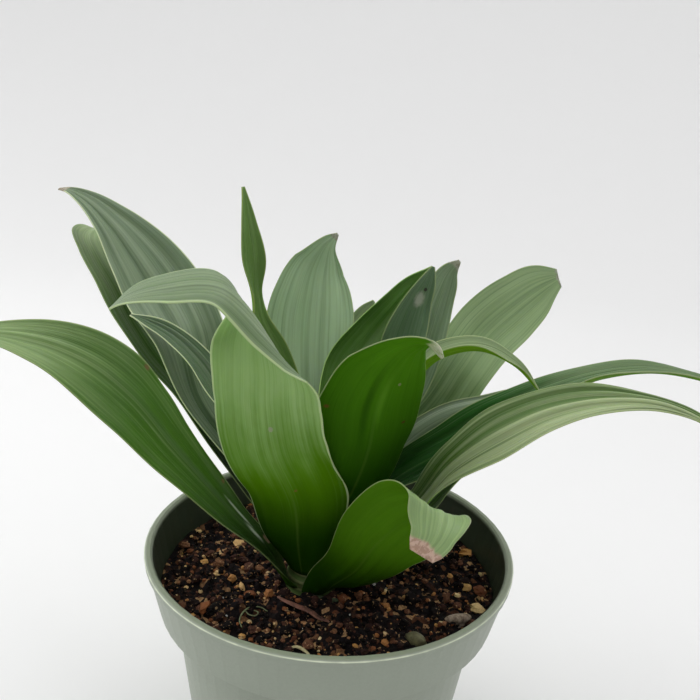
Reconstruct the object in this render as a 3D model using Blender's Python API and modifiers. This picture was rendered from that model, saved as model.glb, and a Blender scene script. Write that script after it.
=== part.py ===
"""Potted dracaena: a nursery pot, its soil, a short stem and twenty-one arching leaves.

Metres, +Z up. The origin is the centre of the pot's flat bottom, and the front faces -Y.
The leaf table is in millimetres.
"""

import math

import bpy
import numpy as np

MM = 0.001

# Pot, in millimetres
POT_HEIGHT = 112.0
RIM_RADIUS = 76.0
LIP_WIDTH = 3.2
BAND_HEIGHT = 24.0
BAND_FOOT_RADIUS = 70.2
BODY_TOP_RADIUS = 63.8
BODY_FOOT_RADIUS = 51.5
WALL = 1.6
FLOOR = 2.2
STEPS_ROUND = 64
DRAIN_HOLES = 6
DRAIN_RADIUS = 4.0
DRAIN_CIRCLE = 41.0

# Soil and stem, in millimetres
CLEARANCE = 0.3
SOIL_EDGE_HEIGHT = 94.0
SOIL_MOUND = 1.6
SOIL_RINGS = 22
SOIL_STEPS = 128
SOIL_CHIPS = 70
CLOD_PITCH = 6.4
CLOD_RISE = 2.6
CLOD_TABLE = 53
STEM_CENTRE = (-7.0, -6.0)
STEM_FOOT = 70.0
STEM_NECK = 110.0
STEM_TOP = 152.0
STEM_FOOT_RADIUS = 10.6
STEM_SOIL_RADIUS = 10.2
STEM_NECK_RADIUS = 7.4
STEM_TOP_RADIUS = 4.0
STEM_STEPS = 24

# Leaf blades, in millimetres
BLADE = 0.8
BASE_OFFSET = 0.95
TIP_WIDTH = 1.4
CUP_PLACES = (0.0, 0.45, 1.0)

# One entry a leaf. "root" is where it leaves the stem: azimuth in degrees, height and width.
# "cup" is how deep the channel is at the root, the middle and the tip, as a share of half the width,
# and "cup_places" moves those three places along the blade. A negative cup is a ridge.
# A row of "rolls" bends one margin toward the under face: side, begin, end, start across, radians.
# Each row of "line" is a point on the midrib, the way the upper face looks there, and the width.
LEAVES = {
    "leaf_left_front": {
        "root": (206, 96.6, 14),
        "cup": (0.4, 0.3, 0.18),
        "rolls": [(-1, 0.10, 0.66, 0.0, 0.8)],
        "line": [
            (-24, -14, 111, 0.8, -0.1, 0.5, 12),
            (-41, -20, 134, 0.7, -0.5, 0.4, 15),
            (-61, -27, 162, 0.7, -0.6, 0.3, 24),
            (-75, -34, 184, 0.7, -0.6, 0.4, 29),
            (-87, -40, 197, 0.6, -0.6, 0.5, 26),
            (-101, -45, 205, 0.4, -0.5, 0.8, 19),
            (-116, -48, 208, 0.2, -0.2, 1.0, 11),
            (-128, -50, 206, 0.0, -0.1, 1.0, 6),
            (-136, -51, 203, -0.2, 0.0, 1.0, 1.4),
        ],
    },
    "leaf_left_tall": {
        "root": (165, 116, 9),
        "cup": (0.32, 0.25, 0.15),
        "line": [
            (-24, -1, 130, 0.9, -0.3, 0.4, 14),
            (-42, 4, 150, 0.9, -0.4, 0.4, 22),
            (-57, 10, 168, 0.8, -0.5, 0.4, 28),
            (-66, 21, 192, 0.5, -0.7, 0.5, 34),
            (-78, 32, 206, 0.3, -0.7, 0.6, 35),
            (-89, 38, 219, 0.4, -0.7, 0.6, 30),
            (-102, 43, 232, 0.4, -0.5, 0.7, 20),
            (-113, 46, 240, 0.3, -0.4, 0.8, 12),
            (-121, 48, 243, 0.2, -0.4, 0.9, 5),
            (-126, 50, 243, 0.2, -0.4, 0.9, 1.4),
        ],
    },
    "leaf_left_behind": {
        "root": (172, 108, 10),
        "cup": (0.32, 0.25, 0.15),
        "line": [
            (-26, 0, 121, 0.8, -0.2, 0.5, 14),
            (-41, 5, 138, 0.8, -0.3, 0.6, 16),
            (-55, 10, 158, 0.7, -0.4, 0.7, 17),
            (-65, 16, 170, 0.6, -0.5, 0.7, 18),
            (-77.5, 22, 181, 0.6, -0.5, 0.7, 20),
            (-88.5, 29, 193, 0.6, -0.4, 0.7, 23),
            (-98, 36, 206, 0.6, -0.3, 0.8, 24),
            (-107, 43, 216, 0.5, -0.2, 0.9, 23),
            (-113, 51, 222, 0.3, 0.1, 0.9, 19),
            (-114, 61, 224, 0.2, 0.6, 0.7, 11),
            (-110, 72, 221, 0.2, 0.8, 0.5, 1.4),
        ],
    },
    "leaf_left_small": {
        "root": (190, 124, 8),
        "cup": (0.32, 0.5, 0.4),
        "line": [
            (-22, -6, 136, 0.9, 0.0, 0.4, 12),
            (-33, -6, 152, 0.8, -0.1, 0.6, 15),
            (-46, -3, 172, 0.6, -0.4, 0.7, 16),
            (-58, 3, 186, 0.5, -0.5, 0.8, 14),
            (-69, 8, 194, 0.4, -0.5, 0.8, 10),
            (-79, 11, 198, 0.3, -0.5, 0.9, 6),
            (-86, 13, 200, 0.2, -0.4, 0.9, 1.4),
        ],
    },
    "leaf_front_arched": {
        "root": (250, 104, 18),
        "cup": (0.4, 0.22, 0.15, -0.3, -0.12, 0.0),
        "cup_places": (0.0, 0.3, 0.5, 0.66, 0.85, 1.0),
        "rolls": [(1, 0.57, 0.84, 0.4, 0.7), (1, 0.28, 0.56, 0.6, 0.8)],
        "line": [
            (-12, -20, 118, 0.1, 0.9, 0.3, 30),
            (-14, -28, 143, 0.1, 0.9, 0.3, 41),
            (-22, -38, 168, 0.1, 0.9, 0.2, 41),
            (-24, -48, 190, 0.15, 0.9, 0.2, 38),
            (-24, -55, 207, 0.35, 0.9, 0.3, 37),
            (-27, -59, 222, 0.7, 0.4, 0.6, 33),
            (-37, -61, 234, 0.45, 0.0, 0.9, 28),
            (-54, -63, 233, 0.1, -0.1, 1.0, 24),
            (-65, -65, 229, -0.1, -0.1, 1.0, 13),
            (-70, -66, 225, -0.2, 0.0, 1.0, 1.4),
        ],
    },
    "leaf_spear": {
        "root": (130, 141, 8),
        "cup": (0.35, 0.5, 0.4),
        "line": [
            (-13, 2, 155, 0.3, -0.9, 0.2, 12),
            (-21, 5, 172, 0.4, -0.8, 0.2, 15),
            (-28, 7, 190, 0.5, -0.8, 0.2, 14),
            (-34, 8, 203, 0.7, -0.7, 0.1, 9),
            (-36, 9, 213, 0.8, -0.5, 0.1, 8),
            (-38, 10, 228, 0.6, -0.8, 0.1, 11),
            (-40, 11, 241, 0.7, -0.7, 0.1, 8),
            (-42, 12, 254, 0.8, -0.6, 0.1, 1.4),
        ],
    },
    "leaf_back_upright": {
        "root": (98, 122, 9),
        "cup": (0.32, 0.3, 0.2),
        "line": [
            (-11, 9, 134, 0.0, -0.9, 0.2, 18),
            (-12, 18, 150, 0.0, -0.9, 0.3, 29),
            (-14, 26, 166, 0.1, -0.9, 0.3, 36),
            (-16, 34, 184, 0.2, -0.9, 0.3, 40),
            (-16, 42, 204, 0.4, -0.9, 0.3, 38),
            (-14, 48, 218, 0.5, -0.8, 0.2, 26),
            (-10, 51, 227, 0.6, -0.8, 0.0, 10),
            (-6, 54, 231, 0.6, -0.8, -0.1, 1.4),
        ],
    },
    "leaf_front_dark": {
        "root": (310, 113, 9),
        "cup": (0.32, 0.3, 0.2),
        "line": [
            (0, -17, 127, -0.3, 0.9, 0.3, 23),
            (7, -24, 147, -0.4, 0.9, 0.3, 36),
            (12, -31, 169, -0.4, 0.9, 0.3, 42),
            (14, -36, 190, -0.4, 0.9, 0.3, 42),
            (18, -40, 203, -0.4, 0.8, 0.5, 34),
            (23, -43, 211, -0.3, 0.6, 0.7, 22),
            (28, -45, 213, 0.0, 0.4, 1.0, 12),
            (32, -46, 209, 0.5, 0.2, 0.8, 1.4),
        ],
    },
    "leaf_front_folded": {
        "root": (304, 96.3, 20),
        "cup": (0.48, 0.2, 0.1),
        "line": [
            (2, -23, 105, 0.05, 0.9, 0.3, 21),
            (10, -32, 118, 0.2, 0.9, 0.3, 26),
            (18, -41, 137, 0.4, 0.8, 0.3, 33),
            (27, -49, 151, 0.4, 0.8, 0.3, 33),
            (36, -56, 159, 0.5, 0.0, 0.9, 27),
            (35, -62, 154, 0.0, -0.9, 0.3, 18),
            (31, -65, 147, 0.0, -0.9, 0.3, 8),
        ],
    },
    "leaf_right_striped": {
        "root": (352, 104, 10),
        "cup": (0.32, 0.3, 0.2),
        "line": [
            (16, -10, 121, -0.8, 0.1, 0.5, 16),
            (32, -21, 140, -0.8, -0.1, 0.6, 19),
            (44, -28, 162.5, -0.8, -0.2, 0.6, 22),
            (59, -31, 177, -0.7, -0.4, 0.6, 25),
            (75, -35, 189, -0.5, -0.4, 0.8, 20),
            (91, -40, 196, -0.2, -0.3, 0.9, 15),
            (107, -44, 198, 0.1, -0.2, 1.0, 10),
            (122, -46, 194, 0.3, -0.2, 0.9, 7),
            (134, -48, 187, 0.5, -0.2, 0.8, 1.4),
        ],
    },
    "leaf_right_long": {
        "root": (5, 117, 9),
        "cup": (0.32, 0.35, 0.3),
        "line": [
            (14, -2, 132, -0.8, -0.1, 0.5, 16),
            (30, 1, 145, -0.7, -0.3, 0.6, 22),
            (47, -1, 158, -0.6, -0.4, 0.7, 24),
            (62, -4, 172, -0.6, -0.3, 0.7, 23),
            (78, -8, 185, -0.5, -0.2, 0.8, 19),
            (98, -11, 196, -0.2, 0.0, 1.0, 15),
            (118, -13, 200, 0.0, 0.0, 1.0, 11),
            (134, -14, 198, 0.1, 0.0, 1.0, 8),
            (148, -15, 194, 0.2, 0.0, 1.0, 1.4),
        ],
    },
    "leaf_right_pale": {
        "root": (22, 112, 9),
        "cup": (0.32, 0.35, 0.25),
        "line": [
            (13, 7, 126, -0.7, -0.4, 0.5, 15),
            (28, 15, 140, -0.55, -0.65, 0.55, 24),
            (46, 20, 155.5, -0.4, -0.5, 0.8, 25),
            (67, 21, 165.5, -0.3, -0.3, 0.9, 20),
            (88, 21, 175, -0.3, -0.2, 0.9, 13),
            (106, 23, 182, -0.2, -0.2, 1.0, 1.4),
        ],
    },
    "leaf_right_narrow": {
        "root": (335, 131, 8),
        "cup": (0.32, 0.6, 0.5),
        "line": [
            (7, -11, 148, -0.8, 0.3, 0.3, 12),
            (17, -9, 169, -0.8, 0.3, 0.4, 15),
            (27, -10, 187, -0.8, 0.2, 0.5, 15),
            (38, -12, 200, -0.5, 0.2, 0.8, 15),
            (51, -14, 204, -0.1, 0.15, 1.0, 13),
            (63, -16, 200, 0.3, 0.1, 0.9, 9),
            (73, -18, 191, 0.5, 0.0, 0.8, 1.4),
        ],
    },
    "leaf_right_oval": {
        "root": (68, 107, 9),
        "cup": (0.32, 0.25, 0.15),
        "line": [
            (9, 19, 125, -0.6, -0.6, 0.4, 16),
            (24, 29, 143, -0.4, -0.8, 0.4, 24),
            (42, 36, 163, 0.1, -0.9, 0.4, 28),
            (51, 36, 181, 0.2, -0.9, 0.3, 30),
            (61, 44, 194, 0.2, -0.9, 0.3, 31),
            (74, 51, 205, 0.3, -0.9, 0.2, 30),
            (86, 57, 213, 0.3, -0.9, 0.1, 22),
            (94, 60, 217, 0.3, -0.9, 0.0, 9),
        ],
    },
    "leaf_inner_dark": {
        "root": (44, 136, 8),
        "cup": (0.35, 0.5, 0.3),
        "line": [
            (9, 4, 154, -0.7, -0.6, 0.2, 14),
            (16, 9, 170, -0.5, -0.8, 0.2, 18),
            (22, 13, 184, -0.3, -0.9, 0.1, 20),
            (25, 15, 202, 0.0, -1.0, 0.1, 18),
            (28, 16, 213, 0.2, -1.0, 0.0, 13),
            (32, 17, 223, 0.3, -0.9, 0.0, 6),
            (33.5, 18, 227, 0.3, -0.9, 0.0, 1.4),
        ],
    },
    "leaf_inner_pale": {
        "root": (28, 126, 8),
        "cup": (0.35, 0.4, 0.3),
        "line": [
            (8, 8, 142, -0.6, -0.7, 0.3, 14),
            (19, 16, 160, -0.5, -0.8, 0.3, 20),
            (28, 21, 178, -0.3, -0.9, 0.1, 22),
            (33, 25, 200, 0.1, -1.0, 0.1, 20),
            (37, 27, 215, 0.3, -0.9, 0.0, 16),
            (41, 28, 224, 0.3, -0.9, -0.1, 9),
            (45, 28, 228, 0.3, -0.9, -0.1, 1.4),
        ],
    },
    "leaf_inner_channelled": {
        "root": (84, 131, 8),
        "cup": (0.35, 0.6, 0.5),
        "line": [
            (-4, 11, 147, -0.2, -0.9, 0.3, 16),
            (0, 18, 163, 0.0, -0.9, 0.3, 23),
            (2, 28, 179, 0.1, -0.9, 0.3, 25),
            (11, 34, 192, 0.1, -0.9, 0.2, 23),
            (21, 36, 206, 0.2, -0.9, 0.2, 17),
            (29, 39, 216, 0.2, -0.9, 0.1, 10),
            (35, 40, 222, 0.3, -0.9, 0.0, 1.4),
        ],
    },
    "leaf_back_small": {
        "root": (86, 113, 8),
        "cup": (0.35, 0.4, 0.3),
        "line": [
            (-6, 17, 134, 0.0, -0.9, 0.3, 14),
            (-3, 32, 154, 0.0, -0.8, 0.5, 20),
            (1, 41, 174, 0.1, -0.8, 0.5, 20),
            (6, 50, 190, 0.3, -0.8, 0.4, 14),
            (9, 55, 197, 0.5, -0.8, 0.3, 8),
            (12, 58, 201, 0.6, -0.7, 0.2, 1.4),
        ],
    },
    "leaf_right_low": {
        "root": (13, 98, 9),
        "cup": (0.32, 0.3, 0.2),
        "line": [
            (17, 1, 109, -0.6, 0.1, 0.7, 15),
            (30, 3, 119, -0.7, -0.1, 0.7, 18),
            (40, 4, 130, -0.7, -0.2, 0.7, 18),
            (48, 6, 141, -0.7, -0.3, 0.7, 16),
            (54, 9, 149, -0.6, -0.3, 0.7, 11),
            (58, 13, 155, -0.5, -0.3, 0.8, 1.4),
        ],
    },
    "leaf_rear_left": {
        "root": (116, 100, 9),
        "cup": (0.32, 0.3, 0.2),
        "line": [
            (-12, 18, 116, 0.1, -0.7, 0.7, 18),
            (-16, 34, 136, 0.1, -0.7, 0.7, 30),
            (-22, 52, 156, 0.1, -0.6, 0.8, 38),
            (-30, 72, 170, 0.0, -0.3, 0.9, 36),
            (-38, 92, 176, 0.0, 0.0, 1.0, 26),
            (-44, 110, 174, 0.0, 0.3, 1.0, 12),
            (-48, 120, 170, 0.0, 0.4, 0.9, 1.4),
        ],
    },
    "leaf_rear_right": {
        "root": (62, 101, 10),
        "cup": (0.32, 0.3, 0.2),
        "line": [
            (8, 15, 112, -0.6, -0.4, 0.7, 18),
            (21, 32, 127, -0.5, -0.5, 0.7, 26),
            (36, 51, 143, -0.4, -0.5, 0.7, 33),
            (49, 69, 155, -0.2, -0.3, 0.9, 32),
            (60, 87, 161, 0.0, 0.0, 1.0, 22),
            (68, 101, 160, 0.1, 0.2, 1.0, 10),
            (73, 110, 157, 0.2, 0.3, 0.9, 1.4),
        ],
    },
}

POT_GREEN = (0.30, 0.36, 0.29, 1.0)
SOIL_BROWN = (0.035, 0.022, 0.016, 1.0)
STEM_GREEN = (0.16, 0.22, 0.07, 1.0)
LEAF_GREENS = {
    "leaf_front_arched": (0.07, 0.19, 0.03, 1.0),
    "leaf_front_folded": (0.06, 0.19, 0.02, 1.0),
    "leaf_front_dark": (0.03, 0.11, 0.012, 1.0),
    "leaf_left_front": (0.06, 0.17, 0.03, 1.0),
}
LEAF_GREEN = (0.05, 0.13, 0.045, 1.0)


def clear_scene():
    """Remove every object of the scene."""
    for old in list(bpy.data.objects):
        bpy.data.objects.remove(old, do_unlink=True)


def new_collection(name):
    """A collection linked to the scene."""
    made = bpy.data.collections.new(name)
    bpy.context.scene.collection.children.link(made)
    return made


def new_material(name, colour, roughness):
    """A Principled BSDF material without metal."""
    made = bpy.data.materials.new(name)
    made.use_nodes = True
    shader = made.node_tree.nodes["Principled BSDF"]
    shader.inputs["Base Color"].default_value = colour
    shader.inputs["Roughness"].default_value = roughness
    shader.inputs["Metallic"].default_value = 0.0
    made.diffuse_color = colour
    return made


def new_object(name, points, edges, faces, collection, material):
    """A mesh object from points in millimetres."""
    mesh = bpy.data.meshes.new(name)
    scaled = [tuple(float(value) * MM for value in point) for point in points]
    mesh.from_pydata(scaled, edges, faces)
    mesh.update()
    made = bpy.data.objects.new(name, mesh)
    collection.objects.link(made)
    if material is not None:
        mesh.materials.append(material)
    return made


def turned(name, profile, steps, collection, material):
    """A solid turned about Z from a profile of (radius, height) that starts and ends on the axis."""
    points = [(radius, 0.0, height) for radius, height in profile]
    edges = [(index, index + 1) for index in range(len(points) - 1)]
    made = new_object(name, points, edges, [], collection, material)
    screw = made.modifiers.new("turn", "SCREW")
    screw.angle = 2 * math.pi
    screw.steps = steps
    screw.render_steps = steps
    screw.use_merge_vertices = True
    screw.merge_threshold = 0.00001
    screw.use_smooth_shade = True
    return made


def inner_wall():
    """The pot's inner profile from the lip down to the floor, as (radius, height)."""
    lip = RIM_RADIUS - LIP_WIDTH
    band_foot = POT_HEIGHT - BAND_HEIGHT
    return [
        (lip, POT_HEIGHT - 0.8),
        (lip - 0.4, POT_HEIGHT - 4.0),
        (BAND_FOOT_RADIUS - WALL, band_foot + 0.6),
        (BODY_TOP_RADIUS - WALL, band_foot - 1.0),
        (BODY_FOOT_RADIUS - WALL + 0.5, FLOOR + 3.0),
        (BODY_FOOT_RADIUS - WALL - 2.0, FLOOR),
    ]


def pot_profile():
    """The whole pot wall: up the inside from the floor, over the lip and down the outside."""
    band_foot = POT_HEIGHT - BAND_HEIGHT
    inside = [(0.0, FLOOR)] + list(reversed(inner_wall()))
    lip = [
        (RIM_RADIUS - LIP_WIDTH + 0.8, POT_HEIGHT),
        (RIM_RADIUS - 0.9, POT_HEIGHT),
        (RIM_RADIUS, POT_HEIGHT - 0.9),
        (RIM_RADIUS - 0.2, POT_HEIGHT - 3.0),
        (RIM_RADIUS - 1.2, POT_HEIGHT - 3.8),
    ]
    outside = [
        (BAND_FOOT_RADIUS, band_foot + 0.5),
        (BAND_FOOT_RADIUS - 0.5, band_foot),
        (BODY_TOP_RADIUS, band_foot - 1.0),
        (BODY_FOOT_RADIUS + 0.6, 2.0),
        (BODY_FOOT_RADIUS - 1.4, 0.0),
        (0.0, 0.0),
    ]
    return inside + lip + outside


def build_pot(collection, cutters):
    """The pot, with a ring of drain holes near the edge of its floor."""
    material = new_material("pot_plastic", POT_GREEN, 0.45)
    pot = turned("pot", pot_profile(), STEPS_ROUND, collection, material)
    for index in range(DRAIN_HOLES):
        angle = 2 * math.pi * (index + 0.5) / DRAIN_HOLES
        place = (
            DRAIN_CIRCLE * math.cos(angle) * MM,
            DRAIN_CIRCLE * math.sin(angle) * MM,
            FLOOR / 2 * MM,
        )
        bpy.ops.mesh.primitive_cylinder_add(
            vertices=16, radius=DRAIN_RADIUS * MM, depth=3 * FLOOR * MM, location=place
        )
        cutter = bpy.context.active_object
        cutter.name = f"drain_cutter_{index + 1}"
        for held in list(cutter.users_collection):
            held.objects.unlink(cutter)
        cutters.objects.link(cutter)
        cutter.hide_render = True
        cutter.display_type = "WIRE"
        cut = pot.modifiers.new(f"drain_{index + 1}", "BOOLEAN")
        cut.operation = "DIFFERENCE"
        cut.solver = "EXACT"
        cut.object = cutter
    return pot


def stem_radius(height):
    """The stem's radius at a height, in millimetres."""
    heights = (STEM_FOOT, SOIL_EDGE_HEIGHT + 4.0, STEM_NECK, STEM_TOP)
    radii = (STEM_FOOT_RADIUS, STEM_SOIL_RADIUS, STEM_NECK_RADIUS, STEM_TOP_RADIUS)
    return float(np.interp(height, heights, radii))


def build_stem(collection):
    """A short tapered cane that stands in a plain hole in the soil."""
    heights = (STEM_TOP, 140.0, 125.0, STEM_NECK, 104.0, SOIL_EDGE_HEIGHT + 4.0, STEM_FOOT)
    profile = [(0.0, STEM_TOP + 2.0), (stem_radius(STEM_TOP) - 1.5, STEM_TOP + 1.4)]
    profile += [(stem_radius(height), height) for height in heights]
    profile.append((0.0, STEM_FOOT))
    material = new_material("stem_bark", STEM_GREEN, 0.6)
    stem = turned("stem", profile, STEM_STEPS, collection, material)
    stem.location = (STEM_CENTRE[0] * MM, STEM_CENTRE[1] * MM, 0.0)
    return stem


def clods(x, y):
    """Rounded clods: one dome stands in each jittered square of the soil, and the highest one shows."""
    random = np.random.default_rng(3)
    jitter = random.random((CLOD_TABLE, CLOD_TABLE, 2))
    radius = random.uniform(0.45, 0.95, (CLOD_TABLE, CLOD_TABLE)) * CLOD_PITCH
    rise = random.uniform(0.2, 1.0, (CLOD_TABLE, CLOD_TABLE)) * CLOD_RISE
    column = np.floor(x / CLOD_PITCH).astype(int)
    row = np.floor(y / CLOD_PITCH).astype(int)
    top = np.zeros_like(x)
    for right in (-1, 0, 1):
        for ahead in (-1, 0, 1):
            square = ((column + right) % CLOD_TABLE, (row + ahead) % CLOD_TABLE)
            centre_x = (column + right + jitter[square][:, 0]) * CLOD_PITCH
            centre_y = (row + ahead + jitter[square][:, 1]) * CLOD_PITCH
            away = ((x - centre_x) ** 2 + (y - centre_y) ** 2) / radius[square] ** 2
            top = np.maximum(top, rise[square] * np.clip(1 - away, 0, 1))
    return top


def soil_height(x, y):
    """The soil's top: a low mound about the stem, slow swells, clods, and chips that stand up from it."""
    reach = np.hypot(x, y) / RIM_RADIUS
    height = SOIL_EDGE_HEIGHT + SOIL_MOUND * (1 - reach**2) + clods(x, y) - 0.3 * CLOD_RISE
    height = height + 0.7 * np.sin(0.11 * x + 0.5) * np.cos(0.13 * y - 0.9)
    height = height + 0.5 * np.sin(0.19 * y + 0.07 * x + 2.0)
    random = np.random.default_rng(12)
    for _ in range(SOIL_CHIPS):
        angle = random.uniform(0, 2 * math.pi)
        radius = 66.0 * math.sqrt(random.uniform(0.05, 1.0))
        size = random.uniform(2.6, 4.6)
        rise = random.uniform(0.6, 1.9)
        distance = np.hypot(x - radius * math.cos(angle), y - radius * math.sin(angle))
        height = height + rise * np.clip(1.25 - distance / size, 0, 1)
    near_stem = np.hypot(x - STEM_CENTRE[0], y - STEM_CENTRE[1])
    calm = np.clip((near_stem - STEM_FOOT_RADIUS) / 9.0, 0, 1)
    return 95.2 * (1 - calm) + height * calm


def build_soil(collection):
    """The soil: rings from the stem's hole out to the pot wall, then down the wall and under."""
    angles = 2 * np.pi * np.arange(SOIL_STEPS) / SOIL_STEPS
    turn = np.stack([np.cos(angles), np.sin(angles)], axis=1)
    hole = np.array(STEM_CENTRE) + (STEM_FOOT_RADIUS + CLEARANCE + 0.1) * turn
    wall = [(radius - CLEARANCE - 0.1, height) for radius, height in inner_wall()]
    (low_radius, low), (high_radius, high) = wall[2], wall[1]
    edge_radius = float(np.interp(SOIL_EDGE_HEIGHT, [low, high], [low_radius, high_radius]))
    edge = edge_radius * turn
    rings = [np.column_stack([hole, np.full(SOIL_STEPS, STEM_FOOT - CLEARANCE)])]
    for share in np.linspace(0, 1, SOIL_RINGS) ** 0.85:
        flat = hole * (1 - share) + edge * share
        top = soil_height(flat[:, 0], flat[:, 1])
        if share == 1:
            top = np.full(SOIL_STEPS, SOIL_EDGE_HEIGHT)
        rings.append(np.column_stack([flat, top]))
    for radius, height in wall[2:]:
        level = height + (CLEARANCE + 0.1 if height <= FLOOR else 0.0)
        rings.append(np.column_stack([radius * turn, np.full(SOIL_STEPS, level)]))
    ends = [(*STEM_CENTRE, STEM_FOOT - CLEARANCE), (0, 0, FLOOR + CLEARANCE + 0.1)]
    points = np.concatenate(rings + [ends])
    hole_centre = len(points) - 2
    floor_centre = len(points) - 1
    faces = []
    for ring in range(len(rings) - 1):
        for step in range(SOIL_STEPS):
            after = (step + 1) % SOIL_STEPS
            low = ring * SOIL_STEPS
            high = low + SOIL_STEPS
            faces.append((low + step, high + step, high + after, low + after))
    last = (len(rings) - 1) * SOIL_STEPS
    for step in range(SOIL_STEPS):
        after = (step + 1) % SOIL_STEPS
        faces.append((hole_centre, step, after))
        faces.append((floor_centre, last + after, last + step))
    material = new_material("soil_mix", SOIL_BROWN, 0.95)
    soil = new_object("soil", points, [], faces, collection, material)
    triangulate = soil.modifiers.new("triangles", "TRIANGULATE")
    triangulate.quad_method = "FIXED"
    return soil


def smooth_through(places, knots, rows):
    """A cubic through the rows at their knots, with slopes that weigh both neighbours."""
    steps = np.diff(knots)[:, None]
    slopes = np.diff(rows, axis=0) / steps
    tangents = np.empty_like(rows)
    tangents[0] = slopes[0]
    tangents[-1] = slopes[-1]
    tangents[1:-1] = (slopes[:-1] * steps[1:] + slopes[1:] * steps[:-1]) / (steps[1:] + steps[:-1])
    index = np.clip(np.searchsorted(knots, places, side="right") - 1, 0, len(knots) - 2)
    length = (knots[index + 1] - knots[index])[:, None]
    part = (places - knots[index])[:, None] / length
    rest = 1 - part
    start = rows[index] * (1 + 2 * part) * rest**2 + tangents[index] * length * part * rest**2
    end = rows[index + 1] * part**2 * (3 - 2 * part) - tangents[index + 1] * length * part**2 * rest
    return start + end


def unit(vectors):
    """Each row brought to length one."""
    return vectors / np.linalg.norm(vectors, axis=1)[:, None]


def running_sum(rows):
    """The sum along each row by the trapezium rule, counted from the row's middle."""
    steps = (rows[:, 1:] + rows[:, :-1]) / 2
    total = np.concatenate([np.zeros((len(rows), 1)), np.cumsum(steps, axis=1)], axis=1)
    return total - total[:, 80:81]


def leaf_surface(leaf, along, across):
    """Points of a leaf's middle surface: "along" places on its length, each with the "across" places."""
    azimuth = math.radians(leaf["root"][0])
    reach = stem_radius(leaf["root"][1]) + BASE_OFFSET
    outward = np.array([math.cos(azimuth), math.sin(azimuth)])
    foot = np.array(STEM_CENTRE) + reach * outward
    first = (foot[0], foot[1], leaf["root"][1], -outward[0], -outward[1], 0.12, leaf["root"][2])
    rows = np.array([first] + leaf["line"], dtype=float)
    rows[:, 3:6] = unit(rows[:, 3:6])
    chords = np.linalg.norm(np.diff(rows[:, :3], axis=0), axis=1)
    knots = np.concatenate([[0.0], np.cumsum(chords)]) / np.sum(chords)
    middle = smooth_through(along, knots, rows)
    ahead = smooth_through(np.clip(along + 0.001, 0, 1), knots, rows)
    behind = smooth_through(np.clip(along - 0.001, 0, 1), knots, rows)
    tangent = unit(ahead[:, :3] - behind[:, :3])
    upper = middle[:, 3:6]
    upper = unit(upper - tangent * np.sum(upper * tangent, axis=1)[:, None])
    side = np.cross(upper, tangent)
    half = np.maximum(middle[:, 6], TIP_WIDTH) / 2
    cup = np.interp(along, leaf.get("cup_places", CUP_PLACES), leaf["cup"])
    # The blade turns upward on both sides of its midrib, and a rolled margin turns back under.
    fine = np.linspace(-1, 1, 161)
    turn = 2 * cup[:, None] * fine[None, :]
    for side_sign, begin, end, start, amount in leaf.get("rolls", []):
        window = np.clip((along - begin) / 0.12, 0, 1) * np.clip((end - along) / 0.12, 0, 1)
        window = window * window * (3 - 2 * window)
        reach = np.clip((side_sign * fine - start) / (1 - start), 0, 1)
        turn = turn - side_sign * amount * window[:, None] * reach[None, :]
    gap = fine[1] - fine[0]
    sideways = running_sum(np.cos(turn)) * gap
    upward = running_sum(np.sin(turn)) * gap
    place = (across + 1) / 2 * 160
    low = np.clip(place.astype(int), 0, 159)
    share = place - low
    sideways = sideways[:, low] * (1 - share) + sideways[:, low + 1] * share
    upward = upward[:, low] * (1 - share) + upward[:, low + 1] * share
    points = middle[:, None, :3]
    points = points + side[:, None, :] * (half[:, None] * sideways)[..., None]
    points = points + upper[:, None, :] * (half[:, None] * upward)[..., None]
    return points


def build_leaf(name, leaf, collection):
    """A blade: an open triangulated surface, thickened."""
    along = np.linspace(0, 1, 14 if len(leaf["line"]) < 8 else 16)
    across = np.linspace(-1, 1, 5)
    if "rolls" in leaf:
        along = np.linspace(0, 1, 21)
        across = np.array([-1, -0.7, -0.35, 0, 0.35, 0.7, 1])
    surface = leaf_surface(leaf, along, across)
    rows, columns = surface.shape[:2]
    faces = []
    for row in range(rows - 1):
        for column in range(columns - 1):
            here = row * columns + column
            there = here + columns
            faces.append((here, there + 1, there))
            faces.append((here, here + 1, there + 1))
    colour = LEAF_GREENS.get(name, LEAF_GREEN)
    material = new_material(name + "_blade", colour, 0.38)
    blade = new_object(name, surface.reshape(-1, 3), [], faces, collection, material)
    solidify = blade.modifiers.new("thickness", "SOLIDIFY")
    solidify.thickness = BLADE * MM
    solidify.offset = 0.0
    blade.data.shade_smooth()
    return blade


def main():
    """Build every piece of the potted plant."""
    clear_scene()
    plant = new_collection("potted_dracaena")
    cutters = new_collection("cutters")
    build_pot(plant, cutters)
    build_soil(plant)
    build_stem(plant)
    for name, leaf in LEAVES.items():
        build_leaf(name, leaf, plant)


main()
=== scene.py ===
"""Looks of a potted dracaena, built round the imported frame: leaf blades, crumbly soil, cane and pot finish.

Lengths in the tables are millimetres, and meshes are made in metres. The front faces -Y and +Z is up.
"""

import logging
import math
from dataclasses import dataclass, field
from enum import Enum
from typing import Any

import bpy
import numpy as np
from mathutils import Matrix


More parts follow.
